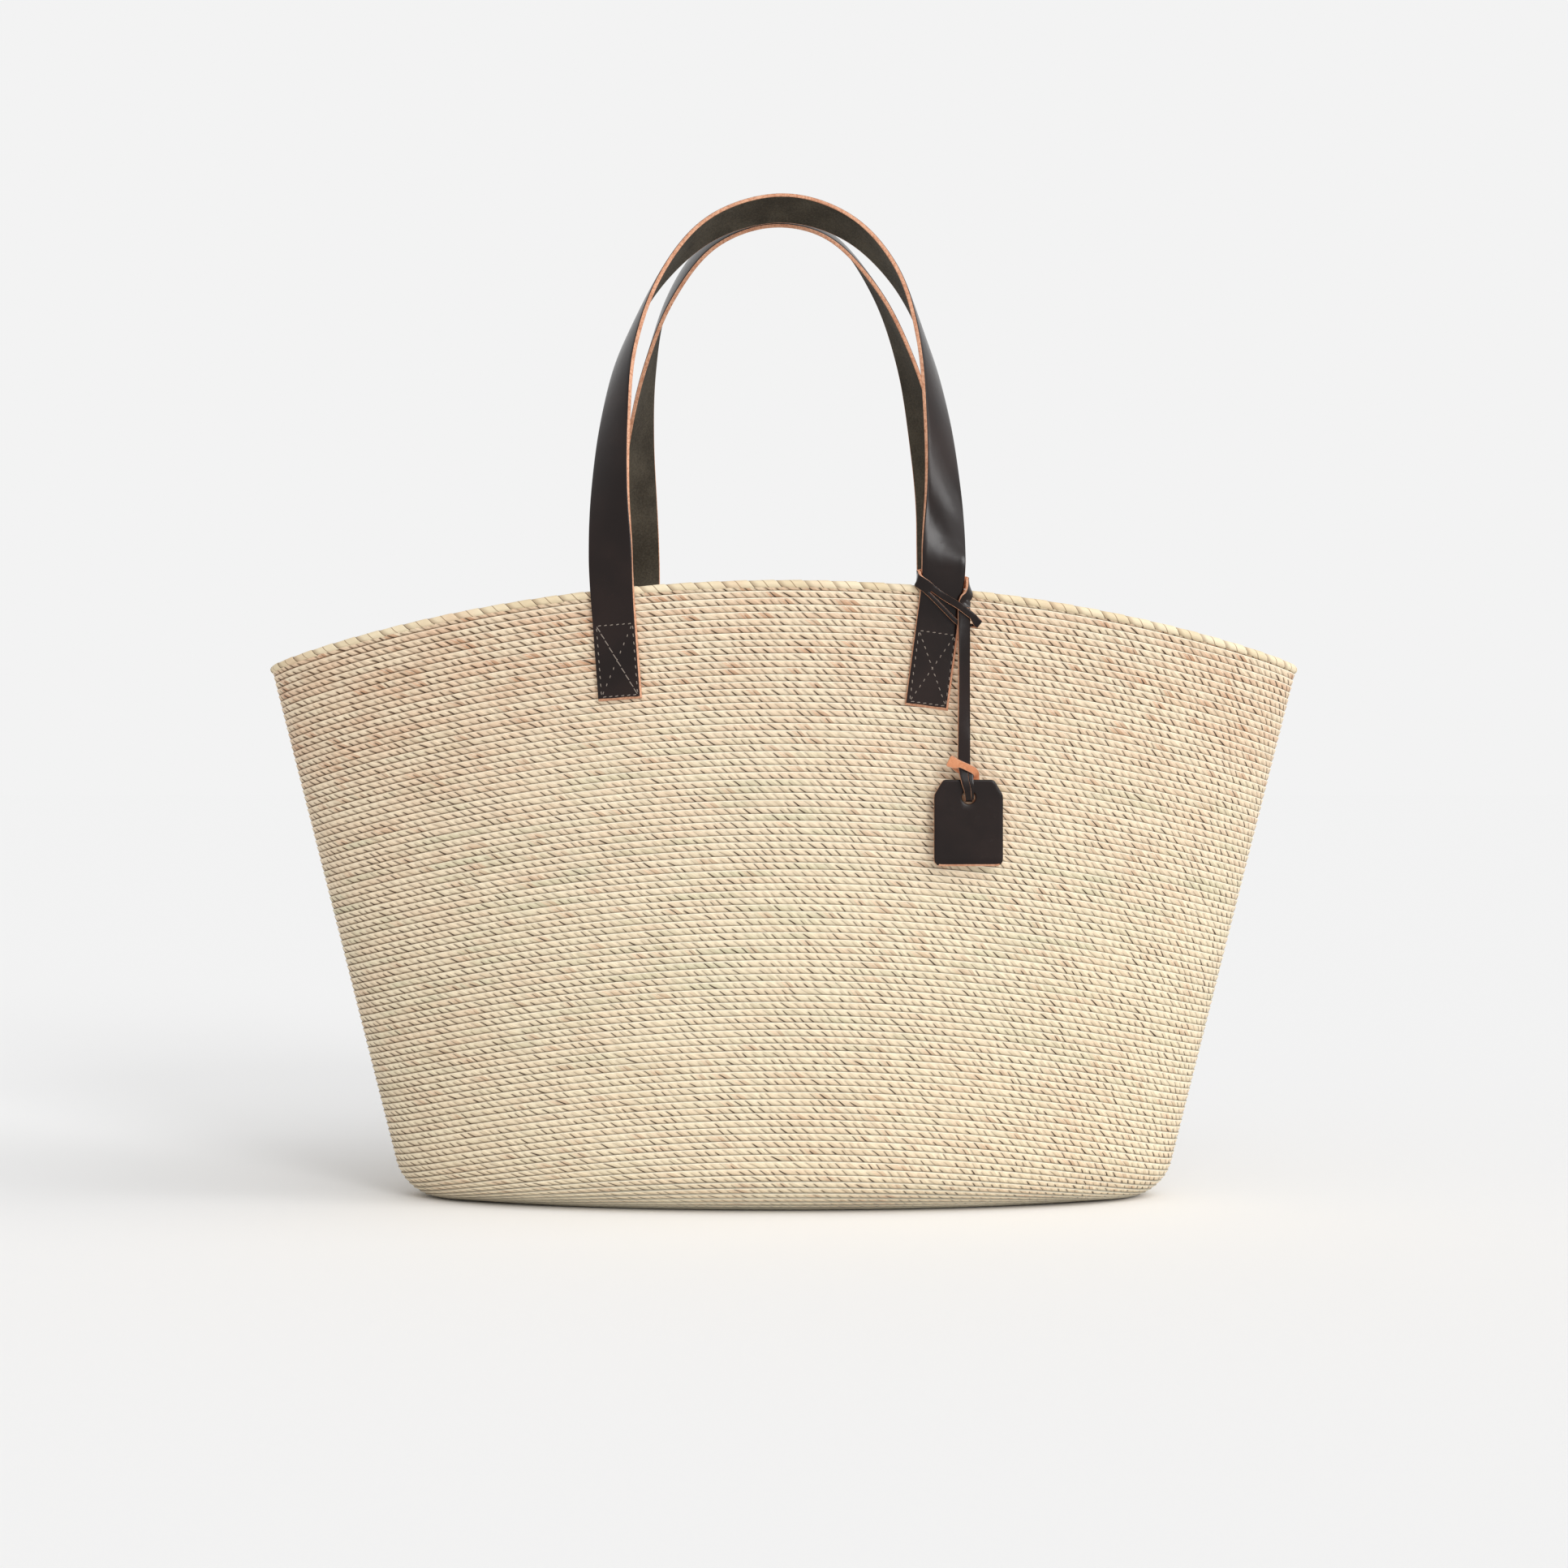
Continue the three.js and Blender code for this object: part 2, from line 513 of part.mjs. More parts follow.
// The knot: the lace goes round the strap above the rim, and its slit end holds its own hanging part
function knotGeometry() {
  const [c, s] = [Math.cos(knotSlope), Math.sin(knotSlope)];
  const drift = (v) => legX(knotLeg, knotZ + v) - legX(knotLeg, knotZ);
  const beside = (side, out, v) => side * (STRAP_WIDTH / 2 + out) + drift(v);
  const back = -(STRAP_THICKNESS + onFace);
  const [left, right] = WRAP_HEIGHT;
  const end = -pivotDrop + LACE_WIDTH / 2 + SEAT_GAP;
  const rise = 5; // how the strap leans outwards above the band
  const lifted = legPlace(knotLeg, knotZ + rise).middle;
  const faceLean = (lifted.sub(knotFrame.origin).dot(knotFrame.out) + STRAP_THICKNESS / 2) / rise;
  const onBand = (q, side, out) => {
    const v = side * c - q * s;
    return [q * c + side * s, v, out + faceLean * Math.max(v, 0)];
  };
  const wrap = [
    { at: onBand(KNOT_SLIT[0] + 0.4, 0, onFace), across: [s, c, 0] },
    { at: onBand(KNOT_SLIT[0] - 3.4, 0.3, onFace + 0.15), across: [s, c, 0.1] },
    { at: [beside(-1, 1.4, left - 4), left - 4, 1.5], across: [0.35, 0.9, 0.2] },
    { at: [beside(-1, 1.5, left - 1.8), left - 1.8, -1.3], across: [0.1, 0.97, 0.2] },
    { at: [beside(-1, 1, left - 0.5), left - 0.5, back + 0.3], across: [0, 1, 0.1] },
    { at: [beside(-1, -4, left), left, back], across: [0, 1, 0] },
    { at: [0, (left + right) / 2, back], across: [0.15, 1, 0] },
    { at: [beside(1, -3.5, right), right + 0.5, back], across: [0.1, 1, 0] },
    { at: [beside(1, 1, right), right - 0.4, back + 0.3], across: [0.05, 1, 0.15] },
    { at: [beside(1, 1.6, right), right - 1.5, -1.5], across: [0, 0.9, 0.45] },
    { at: [beside(1, 1.8, right), right - 4.4, 0.7], across: [-0.15, 0.55, 0.83] },
    { at: [beside(1, 1.3, right), right - 7.4, 1.9], across: [-0.45, 0.25, 0.8] },
    { at: [STRIP_OUT + 0.9, end + 4.6, stripFace - 0.6], across: [-0.8, 0.1, 0.5] },
    { at: [STRIP_OUT + 0.2, end + 1.8, stripFace - 0.1], across: [-1, 0, 0.15] },
    { at: [STRIP_OUT, end, stripFace], across: [-1, 0, 0] },
  ];
  const wrapped = strip(laceSections(wrap, 48, knotFrame), LACE_WIDTH, LACE_THICKNESS, LACE_CHAMFER);
  const crossing = [-1, 1].map((side) => (STRIP_OUT + (side * LACE_WIDTH) / 2) / c);
  const half = (LACE_WIDTH + SEAT_GAP) / 4;
  const leads = [1, -1].map((side) => [[-1.2, 0], [1, 0.25], [8, 0.3]].map(([q, lift]) => {
    const gape = side < 0 ? KNOT_OPENING * THREE.MathUtils.smoothstep(q, 0, KNOT_SLIT[1]) : 0;
    const raised = onFace + (side > 0 ? lift : lift / 2);
    return { at: onBand(KNOT_SLIT[0] + q, side * half - gape, raised), across: [s, c, 0] };
  }));
  const halves = slitEnd({
    frame: knotFrame, start: [0, 0], angle: -knotSlope, slit: KNOT_SLIT, tip: KNOT_TIP, opening: KNOT_OPENING,
    strip: [crossing[0] - 0.8, crossing[1] + 2.5], outs: [stripFace + layer, onFace], tipOut: stripFace,
    tipTilt: KNOT_TIP_TILT, leads,
  });
  return joined([wrapped, ...halves]);
}

// The long hanging part, round at its pivot in the slit and cut square at the bend above the tag
function stripGeometry() {
  const r = LACE_WIDTH / 2;
  const shape = new THREE.Shape();
  shape.absarc(0, 0, r, 0, Math.PI, false);
  shape.lineTo(-r, -STRIP_LENGTH);
  shape.lineTo(r, -STRIP_LENGTH);
  const geometry = plate(shape, LACE_THICKNESS, 12);
  const origin = localPoint(knotFrame, [STRIP_OUT, -pivotDrop, stripFace - LACE_THICKNESS / 2]);
  const { right, up, out } = knotFrame;
  return geometry.applyMatrix4(new THREE.Matrix4().makeBasis(right, up, out).setPosition(origin));
}

// The lower loop: down through its own slit, in at the tag's hole, up behind the tag and over its top
function loopGeometry() {
  const front = TAG_THICKNESS / 2 + onFace;
  const top = TAG_HOLE_BELOW_TOP;
  const tight = HOLE_LACE_NARROW;
  const flat = [-1, 0, 0];
  const band = [
    { at: [-TAG_OFF_STRIP, TAG_HOLE_BELOW_BEND - SEAT_GAP, front], across: flat },
    { at: [-TAG_OFF_STRIP, TAG_HOLE_BELOW_BEND - 6, front], across: flat },
    { at: [-2.3, top + 4.2, front + 0.1], across: flat },
    { at: [-1.4, top - 1.5, front + 1.2], across: flat, narrow: 0.9 },
    { at: [-0.6, 3.8, front + 1.1], across: flat, narrow: tight + 0.1 },
    { at: [0, 0.8, front - 0.8], across: flat, narrow: tight },
    { at: [0, 0, 0], across: flat, narrow: tight },
    { at: [0.2, 0.8, 0.8 - front], across: flat, narrow: tight },
    { at: [1.2, 4, -front - 0.6], across: flat, narrow: tight + 0.1 },
    { at: [2.3, 6.6, -front - 0.3], across: [-0.97, 0.15, 0], narrow: 0.9 },
  ];
  const main = strip(laceSections(band, 42, holeFrame), LACE_WIDTH, LACE_THICKNESS, LACE_CHAMFER);
  const start = [2, top + 2.9];
  const leads = [
    [
      { at: [0.5, 6, -front - 0.4], across: [-0.97, 0.15, 0] },
      { at: [0.8, 7.4, -front - 0.2], across: [-1, 0, 0] },
      { at: [1, top + 0.8, -front], across: [-1, -0.2, 0] },
      { at: [0.7, top + 2.2, -1.5], across: [-0.7, -0.7, 0] },
    ],
    [
      { at: [3.9, 6, -front - 0.4], across: [-0.97, 0.15, 0] },
      { at: [4.3, 7.4, -front - 0.2], across: [-1, 0, 0] },
      { at: [4.5, top + 1, -front], across: [-1, -0.2, 0] },
      { at: [4.2, top + 3, -0.7], across: [-0.85, -0.5, 0] },
      { at: [3.3, top + 4, 2.6], across: [-0.6, -0.8, 0] },
    ],
  ];
  const halves = slitEnd({
    frame: holeFrame, start, angle: radians(180 - LOOP_TIP_SLOPE), slit: LOOP_SLIT, tip: LOOP_TIP,
    opening: LOOP_OPENING, strip: [LOOP_SLIT[0], LOOP_SLIT[1] - 2], outs: [front - layer, front + layer],
    tipOut: 1.6, tipTilt: 0, leads,
  });
  return joined([main, ...halves]);
}

// The tag: a thick leather blank with its top corners cut off, bare on both faces
function tagGeometry() {
  const w = TAG_WIDTH / 2;
  const top = TAG_HOLE_BELOW_TOP;
  const bottom = top - TAG_HEIGHT;
  const r = TAG_CORNER_RADIUS;
  const shape = new THREE.Shape();
  shape.moveTo(w - TAG_CHAMFER_WIDTH, top);
  shape.lineTo(TAG_CHAMFER_WIDTH - w, top);
  shape.lineTo(-w, top - TAG_CHAMFER_HEIGHT);
  shape.absarc(r - w, bottom + r, r, Math.PI, Math.PI * 1.5, false);
  shape.absarc(w - r, bottom + r, r, Math.PI * 1.5, Math.PI * 2, false);
  shape.lineTo(w, top - TAG_CHAMFER_HEIGHT);
  shape.holes.push(new THREE.Path().absarc(0, 0, TAG_HOLE_RADIUS, 0, Math.PI * 2, true));
  const geometry = plate(shape, TAG_THICKNESS, 10);
  const { right, up, out, origin } = holeFrame;
  const corner = origin.clone().addScaledVector(out, -TAG_THICKNESS / 2);
  return geometry.applyMatrix4(new THREE.Matrix4().makeBasis(right, up, out).setPosition(corner));
}

const tote = new THREE.Group();

function place(group, name, geometry, look) {
  const mesh = new THREE.Mesh(geometry, look);
  mesh.name = name;
  group.add(mesh);
}

place(tote, 'base_coil', baseGeometry(), STRAW);
place(tote, 'side_wall', wallGeometry(), STRAW);
place(tote, 'rim_row', rimGeometry(), STRAW_RIM);

// The back handle is laid out like the front one and turned half round, so its left leg is on the right
for (const [face, handle] of [['front', FRONT_HANDLE], ['back', BACK_HANDLE]]) {
  const half = new THREE.Group();
  const turned = face === 'back';
  half.rotation.z = turned ? Math.PI : 0;
  tote.add(half);
  for (const leg of [handle.left, handle.right]) {
    const side = (leg.side < 0) === turned ? 'right' : 'left';
    place(half, `${face}_${side}_strap_end`, strapEndGeometry(leg), LEATHER);
    place(half, `${face}_${side}_seam_thread`, seamGeometry(leg), THREAD);
    place(half, `${face}_${side}_inner_patch`, patchGeometry(leg), LEATHER_PATCH);
  }
  place(half, `${face}_handle`, handleGeometry(handle), LEATHER);
}

place(tote, 'lace_knot', knotGeometry(), LEATHER);
place(tote, 'lace_strip', stripGeometry(), LEATHER);
place(tote, 'lace_loop', loopGeometry(), LEATHER);
place(tote, 'hang_tag', tagGeometry(), LEATHER);

export default tote;
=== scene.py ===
"""A straw tote on a pale studio floor: one long palm braid sewn into an oval basket, two twisted
leather strap handles, and a small bare leather tag on a lace that is locked through its own slits.

Lengths here are millimetres, as in the CAD source, and become metres only when a mesh is made.
+Z is up, the front faces -Y, and the origin is on the ground under the middle of the base.
"""

import math

import bpy
import numpy as np
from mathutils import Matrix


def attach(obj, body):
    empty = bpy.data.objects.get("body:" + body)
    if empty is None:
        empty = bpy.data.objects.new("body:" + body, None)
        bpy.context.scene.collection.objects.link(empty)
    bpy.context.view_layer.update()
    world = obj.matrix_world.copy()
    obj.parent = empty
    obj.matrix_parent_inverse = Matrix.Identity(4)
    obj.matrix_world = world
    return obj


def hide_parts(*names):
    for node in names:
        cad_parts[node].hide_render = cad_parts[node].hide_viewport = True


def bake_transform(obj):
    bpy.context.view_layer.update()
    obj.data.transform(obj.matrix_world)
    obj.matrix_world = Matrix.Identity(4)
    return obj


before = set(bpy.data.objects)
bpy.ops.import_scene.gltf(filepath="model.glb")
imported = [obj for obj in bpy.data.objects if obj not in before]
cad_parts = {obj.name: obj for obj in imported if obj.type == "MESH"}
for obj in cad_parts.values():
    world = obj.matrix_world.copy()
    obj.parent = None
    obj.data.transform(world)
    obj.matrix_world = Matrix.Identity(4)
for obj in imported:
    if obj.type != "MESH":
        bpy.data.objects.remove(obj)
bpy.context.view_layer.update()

MM = 0.001

# The basket, as in the CAD source
RIM_HALF_LENGTH = 303.0
RIM_HALF_DEPTH = 88.0
RIM_HEIGHT_MIDDLE = 357.5
RIM_HEIGHT_END = 312.0
BASE_HALF_LENGTH = 202.0
BASE_HALF_DEPTH = 58.0
END_CORNER_RADIUS = 28.0
FRONT_CORNER_RADIUS = 26.0
START_HALF_LENGTH = 120.0
BRAID_THICKNESS = 3.0
SEAT_GAP = 0.3

# The braid
ROWS = 110  # turns of the braid from the middle of the base to the rim
PLAIT_PITCH = 5.9  # along the braid
PLAIT_RUN = 4.8  # how far a plait runs along the braid while it crosses one row
PLAIT_WANDER = 11.0  # how far the plaits drift out of step along the braid
BRAID_TUCK = 1.2  # how far the braid goes up behind the foot of the rim row
# For each face of the braid: columns once round, rows in one piece, the depth of its lips, and how far
# the foot of a row lies off that depth. Then the profile of one row from its foot to its lip, as share
# of the row and share of that distance.
BRAID_FACES = {
    "outside": (
        520, 28, 0.0, -0.95,
        ((0.0, 1.0), (0.10, 0.72), (0.35, 0.42), (0.68, 0.24), (0.86, 0.02), (0.95, 0.0)),
    ),
    "inside": (360, 56, -BRAID_THICKNESS, 0.7, ((0.0, 1.0), (0.2, 0.35), (0.55, 0.0), (0.85, 0.3))),
}
RIM_ROW_HEIGHT = 4.6
RIM_ROW_THICKNESS = 4.4
RIM_ROW_BULGE = 0.7
RIM_WRAP_PITCH = 15.5
RIM_SWELL = 0.4  # how much prouder a wrap's free edge is than the edge it tucks under
RIM_WRAP_RUN = 11.0  # how far a wrap moves along the rim while it goes once round the row
RIM_COLUMNS = 1400
RIM_AROUND = 20

# The strap handles. Each handle rises from its folds to the top of its arch, where its front edge is
# tilted upwards and its middle is shifted sideways. Each leg has its seam's place, its splay in degrees
# and how far it has settled inwards at its fold. The loop's stations are share of the rise, share of
# the spread at the fold, and degrees of twist. The back handle is laid out as seen from behind.
STRAP_WIDTH = 25.0
STRAP_THICKNESS = 2.6
STRAP_BEVEL = 0.6
FOLD_HEIGHT = 13.5
SETTLE_HEIGHT = 26.0
LIFT_HEIGHT = 12.0
LEAN_POWER = 1.2
SEAM_WIDTH = 20.5
SEAM_HEIGHT = 40.0
SEAM_MARGIN = 2.2
PATCH_THICKNESS = 1.6
STITCH_THICKNESS = 0.52
STITCH_POINTS = 9
STITCH_SUNK = 0.3  # how far the two ends of a stitch lie below the strap's face
STITCH_RISE = 0.5
STITCH_SLANT = 0.22  # how far each stitch's ends lie off its line, on opposite sides
THREAD_PLY_PITCH = 0.55
STRAP_CROWN = 0.9  # how far the strap's two edges curl back above the folds
CROWN_START = -4.0  # from the fold, upwards
CROWN_END = 26.0
END_CUT = 1.3  # how much sooner the grain side ends than the flesh side, at the strap's lower ends
LEG_STEPS = 40
LOOP_STEPS = 170
EASE_ROUNDS = 8
LEFT_LEG = {"side": -1, "seam_x": 93.5, "seam_z": 312.5, "splay": 4.2, "settle": 0.5}
RIGHT_LEG = {"side": 1, "seam_x": 83.0, "seam_z": 308.0, "splay": 7.6, "settle": 1.9}
FRONT_HANDLE = {
    "rise": 211.2, "tilt": 27.8, "shift": -0.9,
    "left": {
        **LEFT_LEG,
        "stations": [
            (0, 1, 5), (0.165, 1.016, 29), (0.376, 0.996, 48),
            (0.579, 0.93, 69), (0.787, 0.74, 90), (0.942, 0.429, 110),
        ],
    },
    "right": {
        **RIGHT_LEG,
        "stations": [
            (0, 1, 5), (0.182, 1.011, 36), (0.394, 0.98, 56),
            (0.6, 0.903, 77), (0.794, 0.736, 98), (0.941, 0.429, 112),
        ],
    },
}
BACK_HANDLE = {
    "rise": 208.0, "tilt": 22.5, "shift": 8.6,
    "left": {
        **LEFT_LEG,
        "seam_x": 91.2,
        "stations": [
            (0, 1, 5), (0.209, 0.983, 30), (0.412, 0.913, 52),
            (0.613, 0.808, 71), (0.806, 0.63, 88), (0.959, 0.355, 105),
        ],
    },
    "right": {
        **RIGHT_LEG,
        "stations": [
            (0, 1, 5), (0.199, 1.006, 31), (0.398, 0.991, 56),
            (0.594, 0.919, 80), (0.78, 0.764, 102), (0.936, 0.451, 111),
        ],
    },
}

# The lace and its tag
LACE_WIDTH = 7.0
LACE_THICKNESS = 1.8
LACE_BEVEL = 0.4
# How far the grain side is cut back at the far and the near edge: on the whole lace, on the fold in the
# tag's hole and on the two halves beside a slit
LACE_TRIM = (0.2, 0.05)
FOLD_TRIM = (1.4, 0.0)
SLIT_TRIM = {1: (0.25, 0.1), -1: (0.4, 0.05)}
SLIT_SHARE = 0.6  # the share of the lace in the half that lies in front, beside both slits
KNOT_BELOW_FOLD = 24.0
KNOT_SLOPE = math.radians(35.5)
# The two ends of the lace: where the slit starts and stops along it, where the tip ends, the tip's tilt
# and width, and how far the two halves part
KNOT_END = {
    "slit": (-8.0, 21.4), "tip": 25.4, "tip_tilt": math.radians(8), "tip_width": 5.4, "opening": 3.6,
}
WRAP_HEIGHT = (13.6, 9.6)
STRIP_OUT = 12.1
STRIP_LENGTH = 76.5
STRIP_TURN = 17.0  # degrees that the hanging strip has turned about its own length half way down
TAG_WIDTH = 39.0
TAG_HEIGHT = 48.5
TAG_THICKNESS = 3.0
TAG_CHAMFER_WIDTH = 5.2
TAG_CHAMFER_HEIGHT = 8.6
TAG_CORNER_RADIUS = 3.8
TAG_HOLE_RADIUS = 3.75
TAG_HOLE_BELOW_TOP = 10.0
TAG_HOLE_BELOW_BEND = 26.4
TAG_OFF_STRIP = 2.9
TAG_BEVEL = 0.7
HOLE_LACE_NARROW = 0.6
LOOP_TIP_SLOPE = 29.0
LOOP_END = {"slit": (1.6, 10.6), "tip": 16.0, "tip_tilt": 0.0, "tip_width": LACE_WIDTH, "opening": 0.5}
SWING_ROOM = 0.35  # how far the hanging strip's top keeps below the lace that goes round the strap

# The camera looks level along +Y, as in the photograph
CAMERA_DISTANCE = 1700.0
CAMERA_HEIGHT = 243.0
PHOTO_WIDTH = 1932
FOCAL_LENGTH = 3541.7  # in pixels of the photograph
BACKGROUND = 243  # the grey of the backdrop, 0 to 255

# The light: soft lamps to the right of the camera, over an even white surround. The low ones make the
# gloss on the leather. Each lamp has its strength, its spread, its angle from straight down and its
# bearing to the right, in degrees.
AMBIENT = 0.60
LAMPS = {
    "key": (0.55, 40.0, 50.0, 18.0),
    "side": (0.8, 50.0, 46.0, 74.0),
    "low_front": (0.85, 16.0, 72.0, 28.0),
    "low_side": (0.35, 16.0, 68.0, 74.0),
}
FLOOR_GREY = 241
FLOOR_HALF_SIZE = 60.0  # in metres

UP = np.array((0.0, 0.0, 1.0))
FRONT = np.array((0.0, -1.0, 0.0))
HALF_TURN = np.array((-1.0, -1.0, 1.0))


def unit(vectors):
    vectors = np.asarray(vectors, float)
    return vectors / np.linalg.norm(vectors, axis=-1, keepdims=True)


def smoothstep(x, low, high):
    t = np.clip((np.asarray(x, float) - low) / (high - low), 0, 1)
    return t * t * (3 - 2 * t)


def linked(name, data):
    made = bpy.data.objects.new(name, data)
    bpy.context.scene.collection.objects.link(made)
    return made


def mesh_object(name, points, faces, uvs, looks, parts=None, sharp=35):
    """A mesh from points in millimetres. faces is a list of index arrays, each of faces with the same
    number of corners; uvs has one pair for each corner and parts one look number for each face."""
    corners = np.concatenate([group.ravel() for group in faces])
    counts = np.concatenate([np.full(len(group), group.shape[1]) for group in faces])
    used, corners = np.unique(corners, return_inverse=True)
    mesh = bpy.data.meshes.new(name)
    mesh.vertices.add(len(used))
    mesh.vertices.foreach_set("co", (np.asarray(points)[used] * MM).astype(np.float32).ravel())
    mesh.loops.add(len(corners))
    mesh.loops.foreach_set("vertex_index", corners.astype(np.int32))
    mesh.polygons.add(len(counts))
    mesh.polygons.foreach_set("loop_start", (np.cumsum(counts) - counts).astype(np.int32))
    mesh.polygons.foreach_set("use_smooth", np.ones(len(counts), bool))
    for look in looks:
        mesh.materials.append(look)
    if parts is not None:
        mesh.polygons.foreach_set("material_index", np.asarray(parts, np.int32))
    layer = mesh.uv_layers.new(name="place")
    layer.uv.foreach_set("vector", np.asarray(uvs, np.float32).ravel())
    mesh.update(calc_edges=True)
    mesh.validate()
    mesh.set_sharp_from_angle(angle=math.radians(sharp))
    return linked(name, mesh)


def grid_faces(rows, columns, around=False):
    """Quads over a grid of points, each as four indices, with the columns joined up where around"""
    r, c = np.meshgrid(np.arange(rows - 1), np.arange(columns if around else columns - 1), indexing="ij")
    after = (c + 1) % columns
    here, above = r * columns, (r + 1) * columns
    return np.stack([here + c, here + after, above + after, above + c], -1).reshape(-1, 4)


def grid_uvs(u, v):
    """The corner pairs of grid_faces, from two grids that have one more column where it goes round"""
    place = np.stack([u, v], -1)
    quads = np.stack([place[:-1, :-1], place[:-1, 1:], place[1:, 1:], place[1:, :-1]], 2)
    return quads.reshape(-1, 2)


def catmull(points, shares):
    """Places on a smooth curve through the points, at shares of the whole way"""
    p = np.asarray(points, float)
    padded = np.vstack([2 * p[0] - p[1], p, 2 * p[-1] - p[-2]])
    place = np.clip(np.asarray(shares, float) * (len(p) - 1), 0, len(p) - 1)
    i = np.minimum(place.astype(int), len(p) - 2)
    w = (place - i)[:, None]
    a, b, c, d = padded[i], padded[i + 1], padded[i + 2], padded[i + 3]
    return 0.5 * (2 * b + (c - a) * w + (2 * a - 5 * b + 4 * c - d) * w**2 + (3 * b - 3 * c + d - a) * w**3)


def catmull_along(points, shares):
    """The direction of travel along such a curve, of any length"""
    small = 1e-4
    ahead = catmull(points, np.minimum(shares + small, 1))
    return ahead - catmull(points, np.maximum(shares - small, 0))


class UpwardCut:
    """One upright cut through the basket: along the ground, round the corner and up the wall"""

    def __init__(self, start, contact, radius, rim, height):
        run = rim - contact
        rise = height - radius
        wall = math.sqrt(run * run + rise * rise - radius * radius)
        self.start, self.radius = start, radius
        self.lean = math.atan2(rise, run) + math.atan2(radius, wall)
        self.flat = contact - start
        self.arc = radius * self.lean
        self.total = self.flat + self.arc + wall

    def at(self, share):
        """Distance out and height at a share of the whole way"""
        s = np.asarray(share, float) * self.total
        turn = np.clip((s - self.flat) / self.radius, 0, self.lean)
        flat = np.minimum(s, self.flat)
        wall = np.maximum(s - self.flat - self.arc, 0)
        out = self.start + flat + self.radius * np.sin(turn) + wall * math.cos(self.lean)
        return out, self.radius * (1 - np.cos(turn)) + wall * math.sin(self.lean)


end_cut = UpwardCut(START_HALF_LENGTH, BASE_HALF_LENGTH, END_CORNER_RADIUS, RIM_HALF_LENGTH, RIM_HEIGHT_END)
front_cut = UpwardCut(0, BASE_HALF_DEPTH, FRONT_CORNER_RADIUS, RIM_HALF_DEPTH, RIM_HEIGHT_MIDDLE)


def basket_point(angle, share):
    length, end_height = end_cut.at(share)
    depth, front_height = front_cut.at(share)
    c, s = np.cos(angle), np.sin(angle)
    return np.stack(np.broadcast_arrays(length * c, depth * s, front_height * s**2 + end_height * c**2), -1)


def basket_normal(angle, share):
    small = 1e-4
    along = basket_point(angle + small, share) - basket_point(angle - small, share)
    up = basket_point(angle, share + small) - basket_point(angle, share - small)
    # At the two ends of the first turn the rows close up to nothing, and the base faces down
    return unit(np.cross(along, up) + np.array((0, 0, -1e-9)))


def basket_offset(angle, share, out):
    return basket_point(angle, share) + basket_normal(angle, share) * np.asarray(out, float)[..., None]


def column_angles(count):
    """Angles once round from the middle of the back, evenly spaced along the wall's middle height"""
    fine = np.linspace(math.pi / 2, math.pi * 5 / 2, 4001)
    line = basket_point(fine, np.full_like(fine, 0.7))
    length = np.concatenate([[0], np.cumsum(np.linalg.norm(np.diff(line, axis=0), axis=1))])
    return np.interp(np.linspace(0, length[-1], count + 1), length, fine)


def front_wall_place(x, z):
    """The share and angle on the outside of the front wall at a given X and height"""
    low, high = 0.3, 1.15
    for _ in range(50):
        share = (low + high) / 2
        angle = -math.acos(x / end_cut.at(share)[0])
        if basket_point(angle, share)[2] < z:
            low = share
        else:
            high = share
    return share, angle


def srgb(red, green, blue):
    """A colour of the photograph, 0 to 255, as Blender's linear light"""
    return tuple(
        c / 255 / 12.92 if c <= 10.3 else ((c / 255 + 0.055) / 1.055) ** 2.4 for c in (red, green, blue)
    ) + (1.0,)


class Value:
    """A number that nodes work out. Arithmetic with it adds the nodes that do the same."""

    def __init__(self, nodes, socket):
        self.nodes, self.socket = nodes, socket

    def __add__(self, other):
        return self.nodes.math("ADD", self, other)

    def __sub__(self, other):
        return self.nodes.math("SUBTRACT", self, other)

    def __mul__(self, other):
        return self.nodes.math("MULTIPLY", self, other)

    def __abs__(self):
        return self.nodes.math("ABSOLUTE", self)


class Nodes:
    """A tree of nodes, and short ways to add to it"""

    def __init__(self, tree):
        self.tree = tree

    def feed(self, socket, value):
        if isinstance(value, Value):
            value = value.socket
        if isinstance(value, bpy.types.NodeSocket):
            self.tree.links.new(value, socket)
        else:
            socket.default_value = value

    def node(self, kind, inputs=(), **settings):
        made = self.tree.nodes.new(kind)
        for key, value in settings.items():
            setattr(made, key, value)
        for key, value in dict(inputs).items():
            self.feed(made.inputs[key], value)
        return made

    def math(self, operation, a, b=0.0):
        return Value(self, self.node("ShaderNodeMath", {0: a, 1: b}, operation=operation).outputs[0])


